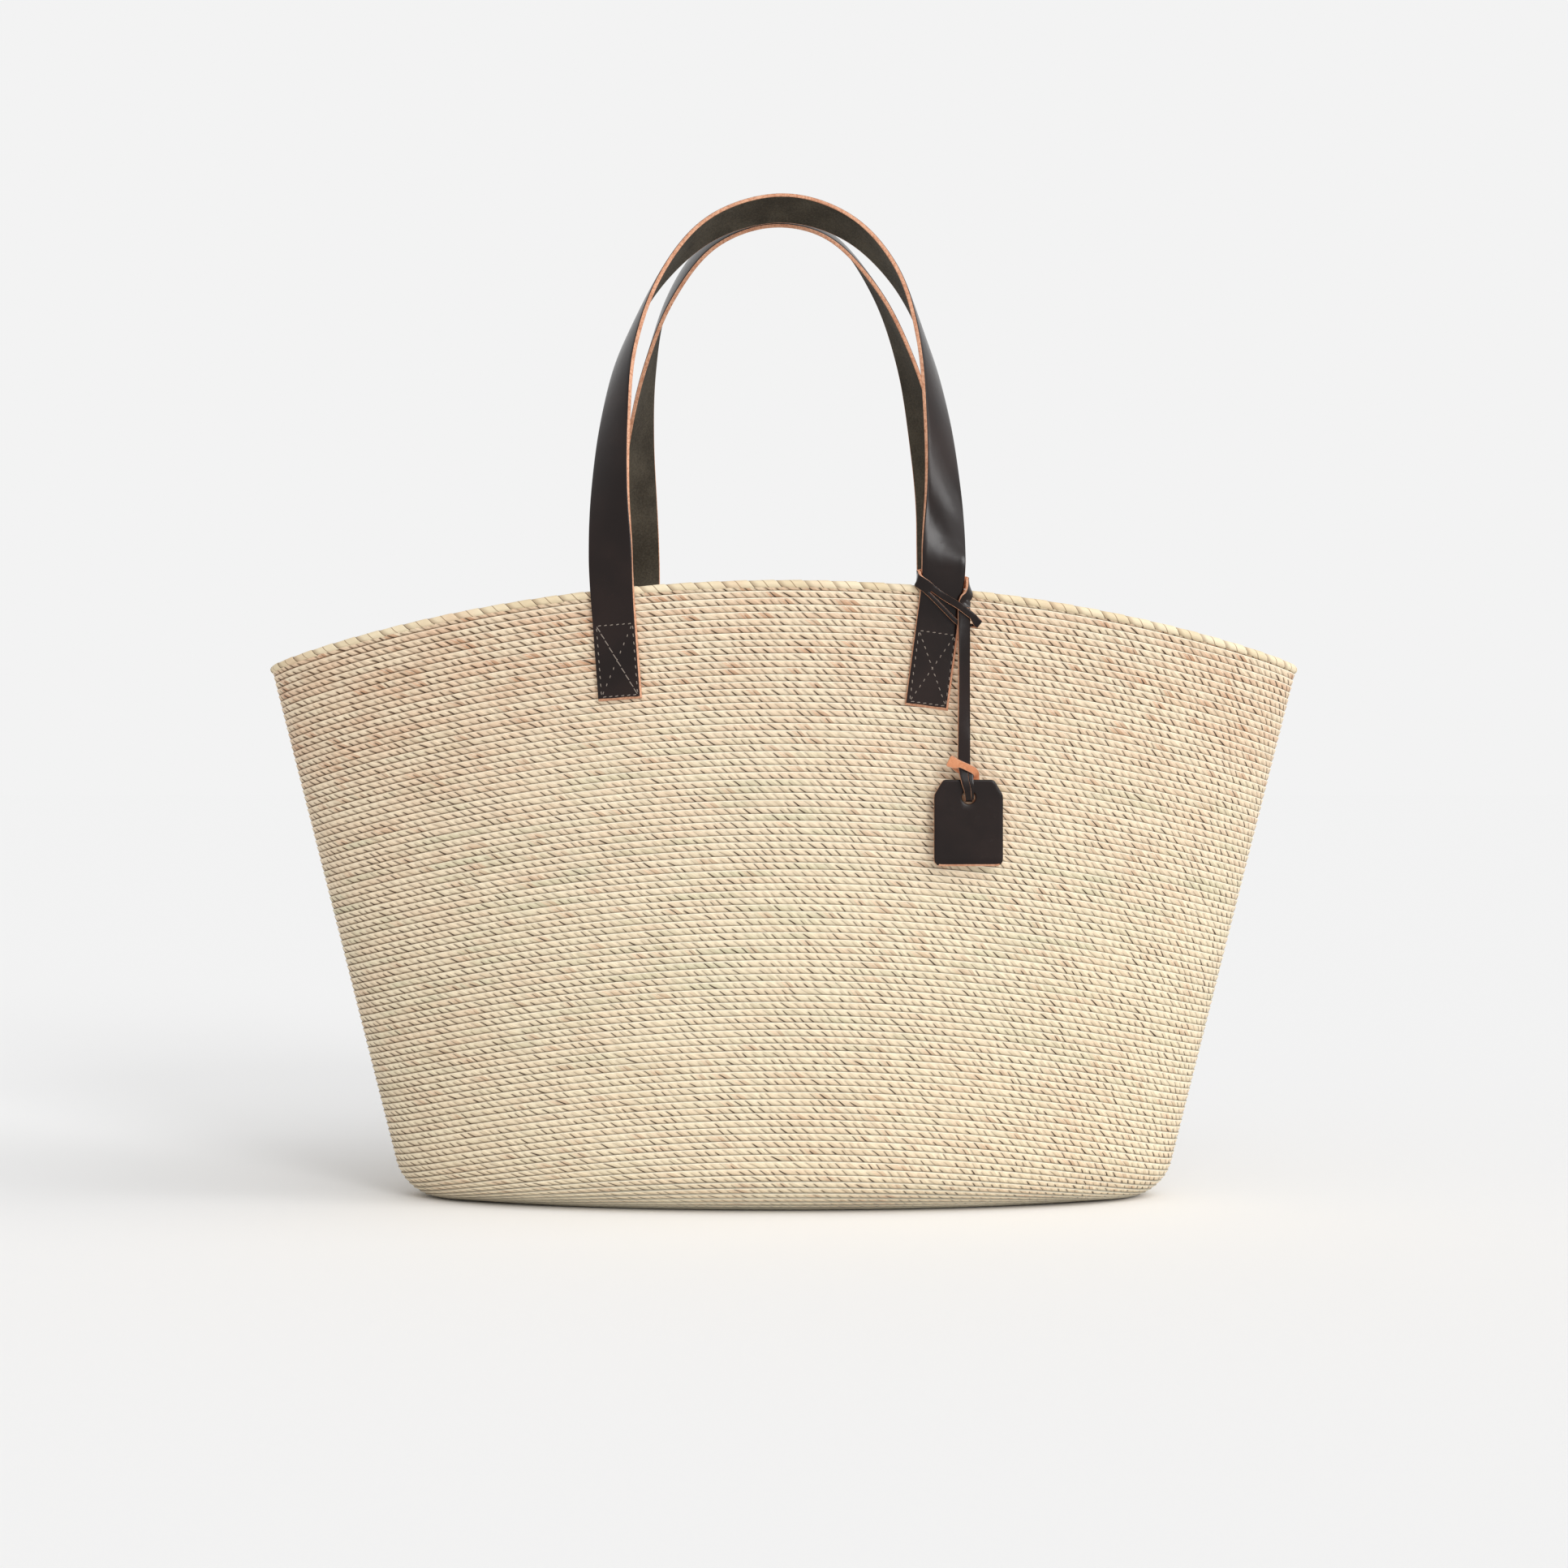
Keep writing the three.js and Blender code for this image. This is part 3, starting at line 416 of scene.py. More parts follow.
class Look(Nodes):
    """A material"""

    def __init__(self, name):
        self.material = bpy.data.materials.new(name)
        self.material.use_nodes = True
        super().__init__(self.material.node_tree)

    def step(self, x, low, high):
        """0 below low and 1 above high, smooth between them. Falls where low is above high."""
        inputs = {"Value": x, "From Min": low, "From Max": high}
        made = self.node("ShaderNodeMapRange", inputs, interpolation_type="SMOOTHSTEP")
        return Value(self, made.outputs["Result"])

    def mix(self, factor, a, b, blend="MIX"):
        made = self.node("ShaderNodeMix", data_type="RGBA", blend_type=blend)
        self.feed(made.inputs[0], factor)
        self.feed(made.inputs[6], a)
        self.feed(made.inputs[7], b)
        return made.outputs[2]

    def shaded(self, colour, shade):
        return self.mix(1.0, colour, self.vector(shade, shade, shade), blend="MULTIPLY")

    def place(self):
        """The two coordinates of the piece's own layer, in millimetres or rows"""
        layer = self.node("ShaderNodeUVMap", uv_map="place")
        parts = self.node("ShaderNodeSeparateXYZ", {0: layer.outputs[0]})
        return Value(self, parts.outputs[0]), Value(self, parts.outputs[1])

    def vector(self, x, y=0.0, z=0.0):
        return self.node("ShaderNodeCombineXYZ", {0: x, 1: y, 2: z}).outputs[0]

    def noise(self, vector, scale=1.0, detail=2.0, roughness=0.5):
        inputs = {"Vector": vector, "Scale": scale, "Detail": detail, "Roughness": roughness}
        return Value(self, self.node("ShaderNodeTexNoise", inputs).outputs["Fac"])

    def chance(self, *coordinates):
        """A random value from 0 to 1 for each place with whole-number coordinates"""
        inputs = {"Vector": self.vector(*coordinates)}
        return Value(self, self.node("ShaderNodeTexWhiteNoise", inputs).outputs["Value"])

    def object_place(self):
        return self.node("ShaderNodeTexCoord").outputs["Object"]

    def finish(self, colour, roughness, height=None, specular=0.5):
        inputs = {"Base Color": colour, "Roughness": roughness, "Specular IOR Level": specular}
        if height is not None:
            bump = self.node("ShaderNodeBump", {"Height": height, "Distance": MM, "Strength": 1.0})
            inputs["Normal"] = bump.outputs[0]
        for key, value in inputs.items():
            self.feed(self.tree.nodes["Principled BSDF"].inputs[key], value)
        return self.material


CREAM = srgb(240, 222, 192)
PINK_TAN = srgb(222, 180, 147)
GREEN_CREAM = srgb(212, 207, 173)
YELLOW_CREAM = srgb(240, 225, 194)
RUST = srgb(196, 138, 98)
# The colour of the painted highlight on each row's lip and on the strand edges
LIP_HIGHLIGHT = srgb(255, 247, 224)
# The colour of the painted shade in crevices, creases and round the gaps
CREVICE_SHADE = srgb(132, 100, 70)
# The colour of the painted shade in the gaps between plaits and between rim wraps
GAP_SHADE = srgb(58, 36, 18)
STRAW_SPECULAR = 0.35
LEATHER_SPECULAR = 0.25


def straw_look(name):
    """Palm braid: slanted plaits with painted shade in the gaps between them and a painted highlight along
    each row's lip.
    The layer holds the distance along the whole braid and the row number."""
    look = Look(name)
    step, noise, mix, vector = look.step, look.noise, look.mix, look.vector
    u, v = look.place()
    f = look.math("FRACT", v)
    height_share = v * (1 / ROWS)
    place = look.object_place()
    # The left end turns away from the lamps: there the painted highlight on the lips fades and the painted
    # shade deepens
    shaded_left_end = step(look.node("ShaderNodeSeparateXYZ", {0: place}).outputs[0], -0.05, -0.27)

    wander = noise(vector(u * 0.045), detail=1.0)
    cell = (u + f * PLAIT_RUN + wander * PLAIT_WANDER) * (1 / PLAIT_PITCH)
    phase = look.math("FRACT", cell)
    number = look.math("FLOOR", cell)
    width_luck, length_luck, dark_luck, tint_luck = (look.chance(number, k) for k in (3.0, 8.0, 21.0, 34.0))

    # The gap between two plaits, painted dark as shade, widens from the middle of the row down to the next
    # lip, with softer painted shade round it
    off_gap = abs(phase - 0.5) * (PLAIT_PITCH * 0.63)
    top_end = length_luck * 0.36 + 0.40
    gap_width = (width_luck * 0.20 + 0.05) * (step(f, top_end, 0.0) * 0.5 + 0.5)
    dash = step(off_gap, gap_width + 0.22, gap_width) * step(f, top_end + 0.14, top_end)
    dash = dash * step(f, 0.0, 0.06) * (step(dark_luck, 0.0, 0.8) * 0.75 + 0.25)
    shade_round_gap = step(off_gap, 1.1, 0.1) * step(f, top_end + 0.3, top_end - 0.1) * (dark_luck * 0.6 + 0.4)

    # A painted highlight beside each gap and over the top of each plait, where the next strand's edge catches
    # the light
    beside = step(abs(phase - 0.40), 0.06, 0.02)
    from_last = look.math("FRACT", phase + 0.5)
    over = step(abs(f + (from_last * 0.20 - 0.76)), 0.06, 0.01)
    light = look.math("MAXIMUM", beside * 0.6, over * 0.5) * (tint_luck * 0.7 + 0.3)

    # Each plait is a few narrow strands with fine lines of painted shade between them, and has long fibres
    strands = cell * 3.0
    strand_luck = look.chance(look.math("FLOOR", strands), 14.0)
    line = step(abs(look.math("FRACT", strands) - 0.5), 0.40, 0.48)
    line = line * step(strand_luck, 0.45, 0.9) * step(f, 0.85, 0.6)
    fibres = noise(vector(cell * 14.0, f * 0.8, u * 0.02), detail=3.0)

    # Tints that run along the braid, others that change up the wall, and a few rusty plaits
    streak = step(noise(vector(u * 0.016, 5.0), detail=3.0), 0.40, 0.62)
    green = step(noise(vector(u * 0.013, 31.0), detail=3.0), 0.48, 0.66)
    upper = step(height_share, 0.72, 0.98)
    middle = step(height_share, 0.3, 0.5) * step(height_share, 0.9, 0.7)
    cloud = noise(place, scale=9.0, detail=2.0)
    pink = (streak * 0.75 + 0.2) * (upper * 0.42 + (cloud * 0.7 - 0.05))
    colour = mix(step(height_share, 0.75, 0.5), CREAM, YELLOW_CREAM)
    colour = mix(pink, colour, PINK_TAN)
    colour = mix(green * (middle * 0.5 + 0.15), colour, GREEN_CREAM)
    colour = mix(step(tint_luck, 0.90, 0.97) * (upper * 0.3 + 0.3), colour, RUST)
    # Random tone for each strand and along the fibres, and painted shade towards the foot of each row
    shade = (strand_luck * 0.14 + 0.94) * (fibres * 0.26 + 0.88) * (step(f, 0.0, 0.6) * 0.14 + 0.86)
    colour = look.shaded(colour, shade)
    # Painted highlights on the strand edges and along each row's lip, the lip's weaker at the left end
    colour = mix(light, colour, LIP_HIGHLIGHT)
    colour = mix(step(f, 0.80, 0.88) * (shaded_left_end * -0.75 + 0.95), colour, LIP_HIGHLIGHT)
    # Painted shade round each gap, deeper in the upper rows and at the left end
    colour = mix(shade_round_gap * (upper * 0.34 + (shaded_left_end * 0.30 + 0.42)), colour, CREVICE_SHADE)

    # Painted shade at the foot of each row, broken along its length, then the painted shade of the fine lines
    # and of the gaps
    broken = step(noise(vector(u * 0.16, 53.0), detail=2.0), 0.40, 0.62)
    foot_height = shaded_left_end * 0.12 + (broken * 0.14 + 0.08)
    foot_shade_depth = upper * 0.15 + (shaded_left_end * 0.40 + 0.40)
    colour = mix(step(f, foot_height, 0.02) * foot_shade_depth, colour, CREVICE_SHADE)
    colour = mix(line * 0.45, colour, CREVICE_SHADE)
    colour = mix(dash * 0.96, colour, GAP_SHADE)

    height = look.math("SINE", phase * math.pi) * -0.30 + 0.30
    height = height + strand_luck * 0.06 + fibres * 0.10 - dash * 0.45
    return look.finish(colour, fibres * 0.25 + 0.52, height, STRAW_SPECULAR)


def rim_look(name):
    """The wrapped top row: long pale wraps that each tuck under the next. The layer holds the
    distance along the rim and the way round the row, from 0 to 1."""
    look = Look(name)
    u, v = look.place()
    wrap = (u + v * RIM_WRAP_RUN) * (1 / RIM_WRAP_PITCH)
    phase = look.math("FRACT", wrap)
    number = look.math("FLOOR", wrap)
    luck = look.chance(number, 4.0)
    fibres = look.noise(look.vector(u * 0.09, v * 60.0, number), detail=4.0)
    tint = look.step(look.noise(look.vector(u * 0.02, 7.0)), 0.5, 0.7)
    colour = look.mix(luck, srgb(242, 226, 194), srgb(226, 206, 170))
    colour = look.mix(tint * 0.5, colour, PINK_TAN)
    colour = look.shaded(colour, fibres * 0.34 + 0.82)
    # Painted shade where a wrap goes under the next one and in the fold along its middle, and a dark seam of
    # painted shade where some wraps meet
    seam = look.step(phase, 0.03, 0.015) * look.step(luck, 0.0, 0.35)
    colour = look.mix(look.step(phase, 0.3, 0.0) * 0.6, colour, CREVICE_SHADE)
    colour = look.mix(look.step(abs(phase - 0.52), 0.03, 0.01) * 0.75, colour, CREVICE_SHADE)
    colour = look.mix(seam * 0.9, colour, GAP_SHADE)
    return look.finish(colour, fibres * 0.25 + 0.5, fibres * 0.16 - seam * 0.3, STRAW_SPECULAR)


def grain_look(name, colour, light, gloss):
    """The smooth dyed side of the leather: a fine grain, slow swells, scuffs and a soft gloss"""
    look = Look(name)
    place = look.object_place()
    cloud = look.noise(place, scale=28.0, detail=3.0)
    swell = look.noise(place, scale=75.0, detail=2.0)
    grain = look.noise(place, scale=1500.0, detail=2.0, roughness=0.6)
    scuff = look.step(look.noise(place, scale=95.0, detail=6.0, roughness=0.75), 0.60, 0.74)
    tone = look.mix(look.step(cloud, 0.35, 0.7), colour, light)
    tone = look.mix(scuff * 0.35, tone, light)
    roughness = cloud * 0.10 + gloss + scuff * 0.08
    return look.finish(tone, roughness, grain * 0.010 + swell * 0.16, LEATHER_SPECULAR)


def flesh_look(name, colour, light):
    """The rough inner side of the leather, with short loose fibres"""
    look = Look(name)
    place = look.object_place()
    nap = look.noise(place, scale=900.0, detail=4.0, roughness=0.7)
    cloud = look.noise(place, scale=45.0, detail=3.0)
    tone = look.mix(look.step(cloud * 0.5 + nap * 0.5, 0.35, 0.68), colour, light)
    return look.finish(tone, 0.82, nap * 0.22, LEATHER_SPECULAR)


def edge_look(name, colour, dark):
    """The bare cut edge, with fibres packed close and patches that the dye has stained"""
    look = Look(name)
    place = look.object_place()
    fibre = look.noise(place, scale=700.0, detail=4.0, roughness=0.7)
    stain = look.noise(place, scale=60.0, detail=2.0)
    tone = look.mix(look.step(fibre, 0.35, 0.75), colour, dark)
    tone = look.mix(look.step(stain, 0.5, 0.75) * 0.5, tone, dark)
    return look.finish(tone, 0.7, fibre * 0.2, LEATHER_SPECULAR)


def thread_look(name):
    """Waxed thread, twisted from plies that show as slanting ridges, with painted shade in the grooves
    between plies and a painted highlight on their crests
    """
    look = Look(name)
    u, v = look.place()
    ply = look.math("SINE", (u + v * 1.2) * (2 * math.pi / THREAD_PLY_PITCH))
    # Painted shade in the grooves between plies and a painted highlight on their crests
    tone = look.mix(ply * 0.5 + 0.5, srgb(116, 104, 94), srgb(172, 158, 146))
    return look.finish(tone, 0.6, ply * 0.06)


straw = straw_look("straw")
rim_straw = rim_look("rim_straw")
strap_grain = grain_look("strap_grain", srgb(21, 10, 7), srgb(32, 19, 15), 0.19)
strap_flesh = flesh_look("strap_flesh", srgb(52, 46, 37), srgb(84, 77, 65))
lace_flesh = flesh_look("lace_flesh", srgb(196, 126, 88), srgb(216, 152, 112))
cut_edge = edge_look("cut_edge", srgb(222, 170, 138), srgb(172, 112, 82))
thread = thread_look("thread")
STRAP_LOOKS = [strap_grain, strap_flesh, cut_edge]
LACE_LOOKS = [strap_grain, lace_flesh, cut_edge]


def braid_band(name, first_row, last_row, face):
    """Rows of the spiral on one face of the braid, each a turn round the basket that climbs by one row"""
    columns, _, lip, reach, profile = BRAID_FACES[face]
    angles = column_angles(columns)
    turn = np.linspace(0, 1, columns + 1)
    lines = np.array([[row + f, depth] for row in range(first_row, last_row) for f, depth in profile])
    lines = np.vstack([lines, [last_row, profile[0][1]]])
    share = np.clip((lines[:, :1] - 1 + turn[None, :]) / ROWS, 0, braid_top)
    depth = np.broadcast_to(lip + reach * lines[:, 1:], share.shape)
    points = basket_offset(np.broadcast_to(angles, share.shape), share, depth)
    quads = grid_faces(len(lines), columns + 1)
    corner_shares = share.ravel()[quads]
    alive = corner_shares.max(1) - corner_shares.min(1) > 1e-7
    row_of_line = np.floor(lines[:, 0]).astype(int) - first_row
    u = np.broadcast_to(along_braid(first_row, last_row, columns)[row_of_line], share.shape)
    v = np.broadcast_to(lines[:, :1], share.shape)
    uvs = grid_uvs(u, v).reshape(-1, 4, 2)[alive].reshape(-1, 2)
    piece = mesh_object(name, points.reshape(-1, 3), [quads[alive]], uvs, [straw], sharp=50)
    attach(piece, "bag")
    return piece


def along_braid(first_row, last_row, columns):
    """The distance along the whole braid at each column of some rows, one list for each row"""
    angles = column_angles(columns)
    turn = np.linspace(0, 1, columns + 1)
    rows = []
    length = 0.0
    for row in range(last_row + 1):
        line = basket_point(angles, np.clip((row - 0.5 + turn) / ROWS, 0, 1))
        steps = np.concatenate([[0], np.cumsum(np.linalg.norm(np.diff(line, axis=0), axis=1))])
        rows.append(length + steps)
        length += steps[-1]
    return np.array(rows[first_row:])


braid_top = 1 - (RIM_ROW_HEIGHT - BRAID_TUCK) / front_cut.total
for face, (_, band_rows, *_) in BRAID_FACES.items():
    for number, start in enumerate(range(0, ROWS + 1, band_rows), 1):
        band = braid_band(f"braid_{face}_{number}", start, min(start + band_rows, ROWS + 1), face)
        if face == "outside":
            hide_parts("base_coil" if start == 0 else "side_wall")


def rim_row():
    """The wrapped row on top: each wrap starts proud and sinks under the one before it"""
    angles = column_angles(RIM_COLUMNS)
    shares = np.full(RIM_COLUMNS + 1, 1 - RIM_ROW_HEIGHT / 2 / front_cut.total)
    normal = basket_normal(angles, shares)
    small = 1e-4
    up = unit(basket_point(angles, shares + small) - basket_point(angles, shares - small))
    centre = basket_offset(angles, shares, np.full(RIM_COLUMNS + 1, -BRAID_THICKNESS / 2))
    u = np.concatenate([[0], np.cumsum(np.linalg.norm(np.diff(centre, axis=0), axis=1))])
    u *= round(u[-1] / RIM_WRAP_PITCH) * RIM_WRAP_PITCH / u[-1]
    turn = np.arange(RIM_AROUND + 1) / RIM_AROUND
    # The way round starts at the foot of the outer side, so that wraps fall to the right from the top
    angle = 2 * math.pi * turn - math.pi / 2
    phase = np.mod((u[:, None] + RIM_WRAP_RUN * turn[None, :]) / RIM_WRAP_PITCH, 1)
    swell = RIM_SWELL * (phase - 0.5)
    half_out = RIM_ROW_THICKNESS / 2 + swell
    half_up = RIM_ROW_HEIGHT / 2 + swell
    points = (
        centre[:, None]
        + normal[:, None] * (half_out * np.cos(angle))[..., None]
        + up[:, None] * (half_up * np.sin(angle))[..., None]
    )
    uvs = grid_uvs(np.broadcast_to(u[:, None], phase.shape), np.broadcast_to(turn[None, :], phase.shape))
    quads = grid_faces(RIM_COLUMNS + 1, RIM_AROUND + 1)[:, ::-1]
    uvs = uvs.reshape(-1, 4, 2)[:, ::-1].reshape(-1, 2)
    piece = mesh_object("rim_row_wrapped", points.reshape(-1, 3), [quads], uvs, [rim_straw], sharp=40)
    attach(piece, "bag")
    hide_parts("rim_row")


rim_row()


def ribbon_profile(width, thickness, bevel, steps):
    """A flat strip's cross-section with rounded edges: across and out for each point, and the side
    (0 grain, 1 flesh, 2 cut edge) of the face that follows it"""
    w, t = width / 2 - bevel, thickness / 2 - bevel
    corner = np.radians((22.5, 45, 67.5, 90))
    points = [(across, thickness / 2) for across in np.linspace(w, -w, steps + 1)]
    points += [(-w - bevel * math.sin(a), t + bevel * math.cos(a)) for a in corner]
    points += [(-w - bevel * math.cos(a - corner[0]), -t - bevel * math.sin(a - corner[0])) for a in corner]
    points += [(across, -thickness / 2) for across in np.linspace(-w, w, steps + 1)]
    points += [(w + bevel * math.sin(a), -t - bevel * math.cos(a)) for a in corner]
    points += [(w + bevel * math.cos(a - corner[0]), t + bevel * math.sin(a - corner[0])) for a in corner]
    edge = [0] * 3 + [2] * 6
    return np.array(points), np.array([0] * steps + edge + [1] * steps + edge[::-1])


class Sections:
    """Where a ribbon runs: its middle line, the direction across it, the way its grain faces, its share
    of the whole width, and how far its grain side is cut back at the far and the near edge"""

    KEYS = ("middle", "across", "out", "narrow", "trim")

    def __init__(self, middle, across, out, narrow=None, trim=(0.0, 0.0)):
        self.middle, self.across, self.out = (np.asarray(a, float) for a in (middle, across, out))
        count = len(self.middle)
        self.narrow = np.ones(count) if narrow is None else np.asarray(narrow, float)
        self.trim = np.broadcast_to(np.asarray(trim, float), (count, 2))

    def flipped(self):
        return Sections(self.middle, -self.across, -self.out, self.narrow, self.trim[:, ::-1])

    @staticmethod
    def chain(*parts):
        return Sections(*(np.concatenate([getattr(p, key) for p in parts]) for key in Sections.KEYS))


def ribbon(sections, width, thickness, bevel, steps=6, cut_back=0.0, crown=0.0):
    """Points, faces, layer places and sides of one closed strip, its edges curled back by the crown"""
    profile, sides = ribbon_profile(width, thickness, bevel, steps)
    count, columns = len(sections.middle), len(profile)
    toward_grain = profile[:, 1] / thickness + 0.5
    trim = np.where(profile[None, :, 0] > 0, sections.trim[:, :1], sections.trim[:, 1:])
    across = profile[None, :, 0] * sections.narrow[:, None] * (1 - trim * toward_grain[None] * 2 / width)
    curl = np.broadcast_to(crown, count)[:, None] * (profile[None, :, 0] * 2 / width) ** 2
    points = (
        sections.middle[:, None]
        + sections.across[:, None] * across[..., None]
        + sections.out[:, None] * (profile[None, :, 1] - curl)[..., None]
    )
    # The grain side ends a little sooner, along a line that isn't quite straight
    x = profile[:, 0]
    back = cut_back * toward_grain * (1 + 0.12 * np.sin(1.3 * x) + 0.08 * np.sin(3.1 * x))
    points[0] += back[:, None] * unit(sections.middle[1] - sections.middle[0])
    points[-1] -= back[:, None] * unit(sections.middle[-1] - sections.middle[-2])
    points = points.reshape(-1, 3)
    gaps = np.linalg.norm(np.diff(sections.middle, axis=0), axis=1)
    u = np.broadcast_to(np.concatenate([[0], np.cumsum(gaps)])[:, None], (count, columns + 1))
    v = np.broadcast_to(np.append(profile[:, 0], profile[0, 0]), (count, columns + 1))
    quads = grid_faces(count, columns, around=True)
    ends = np.array([np.arange(columns)[::-1], np.arange(columns) + (count - 1) * columns])
    end_uvs = np.concatenate([profile[::-1], profile])
    return points, [quads, ends], [grid_uvs(u, v), end_uvs], [np.tile(sides, count - 1), np.array([2, 2])]


def ribbon_object(name, ribbons, looks):
    """One mesh from several ribbons"""
    points, faces, uvs, sides = [], [], [], []
    offset = 0
    for ribbon_points, ribbon_faces, ribbon_uvs, ribbon_sides in ribbons:
        points.append(ribbon_points)
        faces += [group + offset for group in ribbon_faces]
        uvs += ribbon_uvs
        sides += ribbon_sides
        offset += len(ribbon_points)
    return mesh_object(name, np.concatenate(points), faces, np.concatenate(uvs), looks, np.concatenate(sides))


fold_z = RIM_HEIGHT_MIDDLE + FOLD_HEIGHT
strap_out = SEAT_GAP + STRAP_THICKNESS / 2
wall_top = 1 - (RIM_ROW_HEIGHT + SEAT_GAP) / front_cut.total


def leg_x(leg, z):
    settled = leg["settle"] * max(0.0, 1 - (fold_z - z) / SETTLE_HEIGHT) ** 2
    rise = (z - leg["seam_z"]) * math.tan(math.radians(leg["splay"]))
    return leg["side"] * (leg["seam_x"] + rise - settled)


def leg_place(leg, z):
    share, angle = front_wall_place(leg_x(leg, z), z)
    lift = float(smoothstep(share, wall_top - LIFT_HEIGHT / front_cut.total, wall_top))
    normal = basket_normal(angle, min(share, 1))
    return basket_offset(angle, share, strap_out + RIM_ROW_BULGE * lift), normal


def leg_section(leg, z):
    middle, normal = leg_place(leg, z)
    along = unit(leg_place(leg, z + 1)[0] - leg_place(leg, z - 1)[0])
    across = unit(np.cross(along, normal))
    return middle, across, np.cross(across, along), along


def leg_bottom(leg):
    return leg["seam_z"] - SEAM_HEIGHT / 2 - SEAM_MARGIN


def leg_sections(leg):
    """From the strap's lower end up to its fold. The right-hand edge of each leg is cut at a slant."""
    heights = np.linspace(leg_bottom(leg), fold_z - 2, LEG_STEPS)
    middle, across, out, _ = (np.array(part) for part in zip(*(leg_section(leg, z) for z in heights)))
    slant = 1 - smoothstep(heights, fold_z - 40, fold_z)
    if leg["side"] < 0:
        return Sections(middle, across, out, None, np.stack([0.3 + 0.9 * slant, 0.15 + 0 * slant], -1))
    trim = np.stack([0.3 + 0.1 * slant, 0.15 + 1.7 * slant], -1)
    return Sections(middle[::-1], -across[::-1], out[::-1], None, trim[::-1])


def loop_sections(handle):
    """The handle from fold to fold"""
    tilt = math.radians(handle["tilt"])
    shift = handle["shift"]
    arch_y = -(SEAT_GAP / 2 + STRAP_WIDTH / 2 * math.cos(tilt) + STRAP_THICKNESS / 2 * math.sin(tilt))

    def stations(leg):
        foot_x = leg_x(leg, fold_z)
        foot_y = leg_place(leg, fold_z)[0][1]
        return [
            (shift + (foot_x - shift) * spread, foot_y + (arch_y - foot_y) * rise**LEAN_POWER,
             fold_z + handle["rise"] * rise, twist)
            for rise, spread, twist in leg["stations"]
        ]

    top = (shift, arch_y, fold_z + handle["rise"], 90 + handle["tilt"])
    all_stations = np.array(stations(handle["left"]) + [top] + stations(handle["right"])[::-1])
    shares = np.linspace(0, 1, LOOP_STEPS + 1)
    middle = catmull(all_stations, shares)
    along = unit(catmull_along(all_stations, shares)[:, :3])
    along[0], along[-1] = UP, -UP
    front = unit(FRONT - (along @ FRONT)[:, None] * along)
    outward = np.cross(front, along)
    twist = np.radians(middle[:, 3:])
    across = -outward * np.cos(twist) + front * np.sin(twist)
    return Sections(middle[:, :3], across, np.cross(across, along), None, (0.3, 0.15))


def turned(sections):
    """The same sections, turned half round for the back of the bag"""
    middle, across, out = (part * HALF_TURN for part in (sections.middle, sections.across, sections.out))
    return Sections(middle, across, out, sections.narrow, sections.trim)


def eased(line):
    """The same sections, with the sudden turns at the two folds smoothed out"""
    middle, across = line.middle.copy(), line.across.copy()
    for _ in range(EASE_ROUNDS):
        for values in (middle, across):
            values[1:-1] = (values[:-2] + 2 * values[1:-1] + values[2:]) / 4
    along = unit(np.gradient(middle, axis=0))
    across = unit(across - (across * along).sum(1, keepdims=True) * along)
    return Sections(middle, across, np.cross(across, along), line.narrow, line.trim)


def strap(face, handle):
    left, right = leg_sections(handle["left"]), leg_sections(handle["right"])
    line = eased(Sections.chain(left, loop_sections(handle), right))
    if face == "back":
        line = turned(line)
    crown = STRAP_CROWN * smoothstep(line.middle[:, 2], fold_z + CROWN_START, fold_z + CROWN_END)
    strip = ribbon(line, STRAP_WIDTH, STRAP_THICKNESS, STRAP_BEVEL, 10, END_CUT, crown)
    piece = ribbon_object(f"{face}_strap", [strip], STRAP_LOOKS)
    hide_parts(f"{face}_left_strap_end", f"{face}_right_strap_end", f"{face}_handle")
    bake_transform(piece)


# The seam's lines: two ends in halves of its width and height, the number of stitches, and how much of
# each stitch shows. The last two are the diagonals, one of them pulled almost tight on the left straps.
SEAM_SIDES = [
    ((-1, -1), (1, -1), 6, 0.56), ((1, -1), (1, 1), 9, 0.42),
    ((1, 1), (-1, 1), 6, 0.5), ((-1, 1), (-1, -1), 9, 0.42),
]
SEAM_CROSS = {
    "left": [((-1, 1), (1, -1), 10, 0.84), ((-1, -1), (1, 1), 9, 0.32)],
    "right": [((-1, 1), (1, -1), 11, 0.46), ((-1, -1), (1, 1), 11, 0.42)],
}


def stitches(name, leg, cross, back):
    """A box with a cross in it, one rounded stitch after another, each sunk at its two ends"""
    half = np.array((SEAM_WIDTH / 2, SEAM_HEIGHT / 2))
    middle, across, out, along = leg_section(leg, leg["seam_z"])
    shares = np.linspace(0, 1, STITCH_POINTS)
    lift = STRAP_THICKNESS / 2 - STITCH_SUNK + STITCH_RISE * np.sin(math.pi * shares) ** 0.6
    parts = []
    for begin, end, count, shown in SEAM_SIDES + cross:
        begin, end = np.array(begin) * half, np.array(end) * half
        run = unit((end - begin)[0] * across + (end - begin)[1] * along)
        side = np.cross(out, run)
        for i in range(count):
            at = (i + 0.5 + (shares - 0.5) * shown) / count
            flat = begin + (end - begin) * at[:, None]
            middles = middle + flat[:, :1] * across + flat[:, 1:] * along + lift[:, None] * out
            # Each stitch lies at a small angle to its line, as thread does after a slanting needle
            middles = middles + side * STITCH_SLANT * (shares[:, None] - 0.5)
            line = Sections(middles, np.tile(side, (STITCH_POINTS, 1)), np.tile(out, (STITCH_POINTS, 1)))
            parts.append(ribbon(line, STITCH_THICKNESS, STITCH_THICKNESS, STITCH_THICKNESS * 0.45, 1))
    if back:
        parts = [(points * HALF_TURN, *rest) for points, *rest in parts]
    piece = ribbon_object(name, parts, [thread, thread, thread])
    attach(piece, "bag")
    return piece


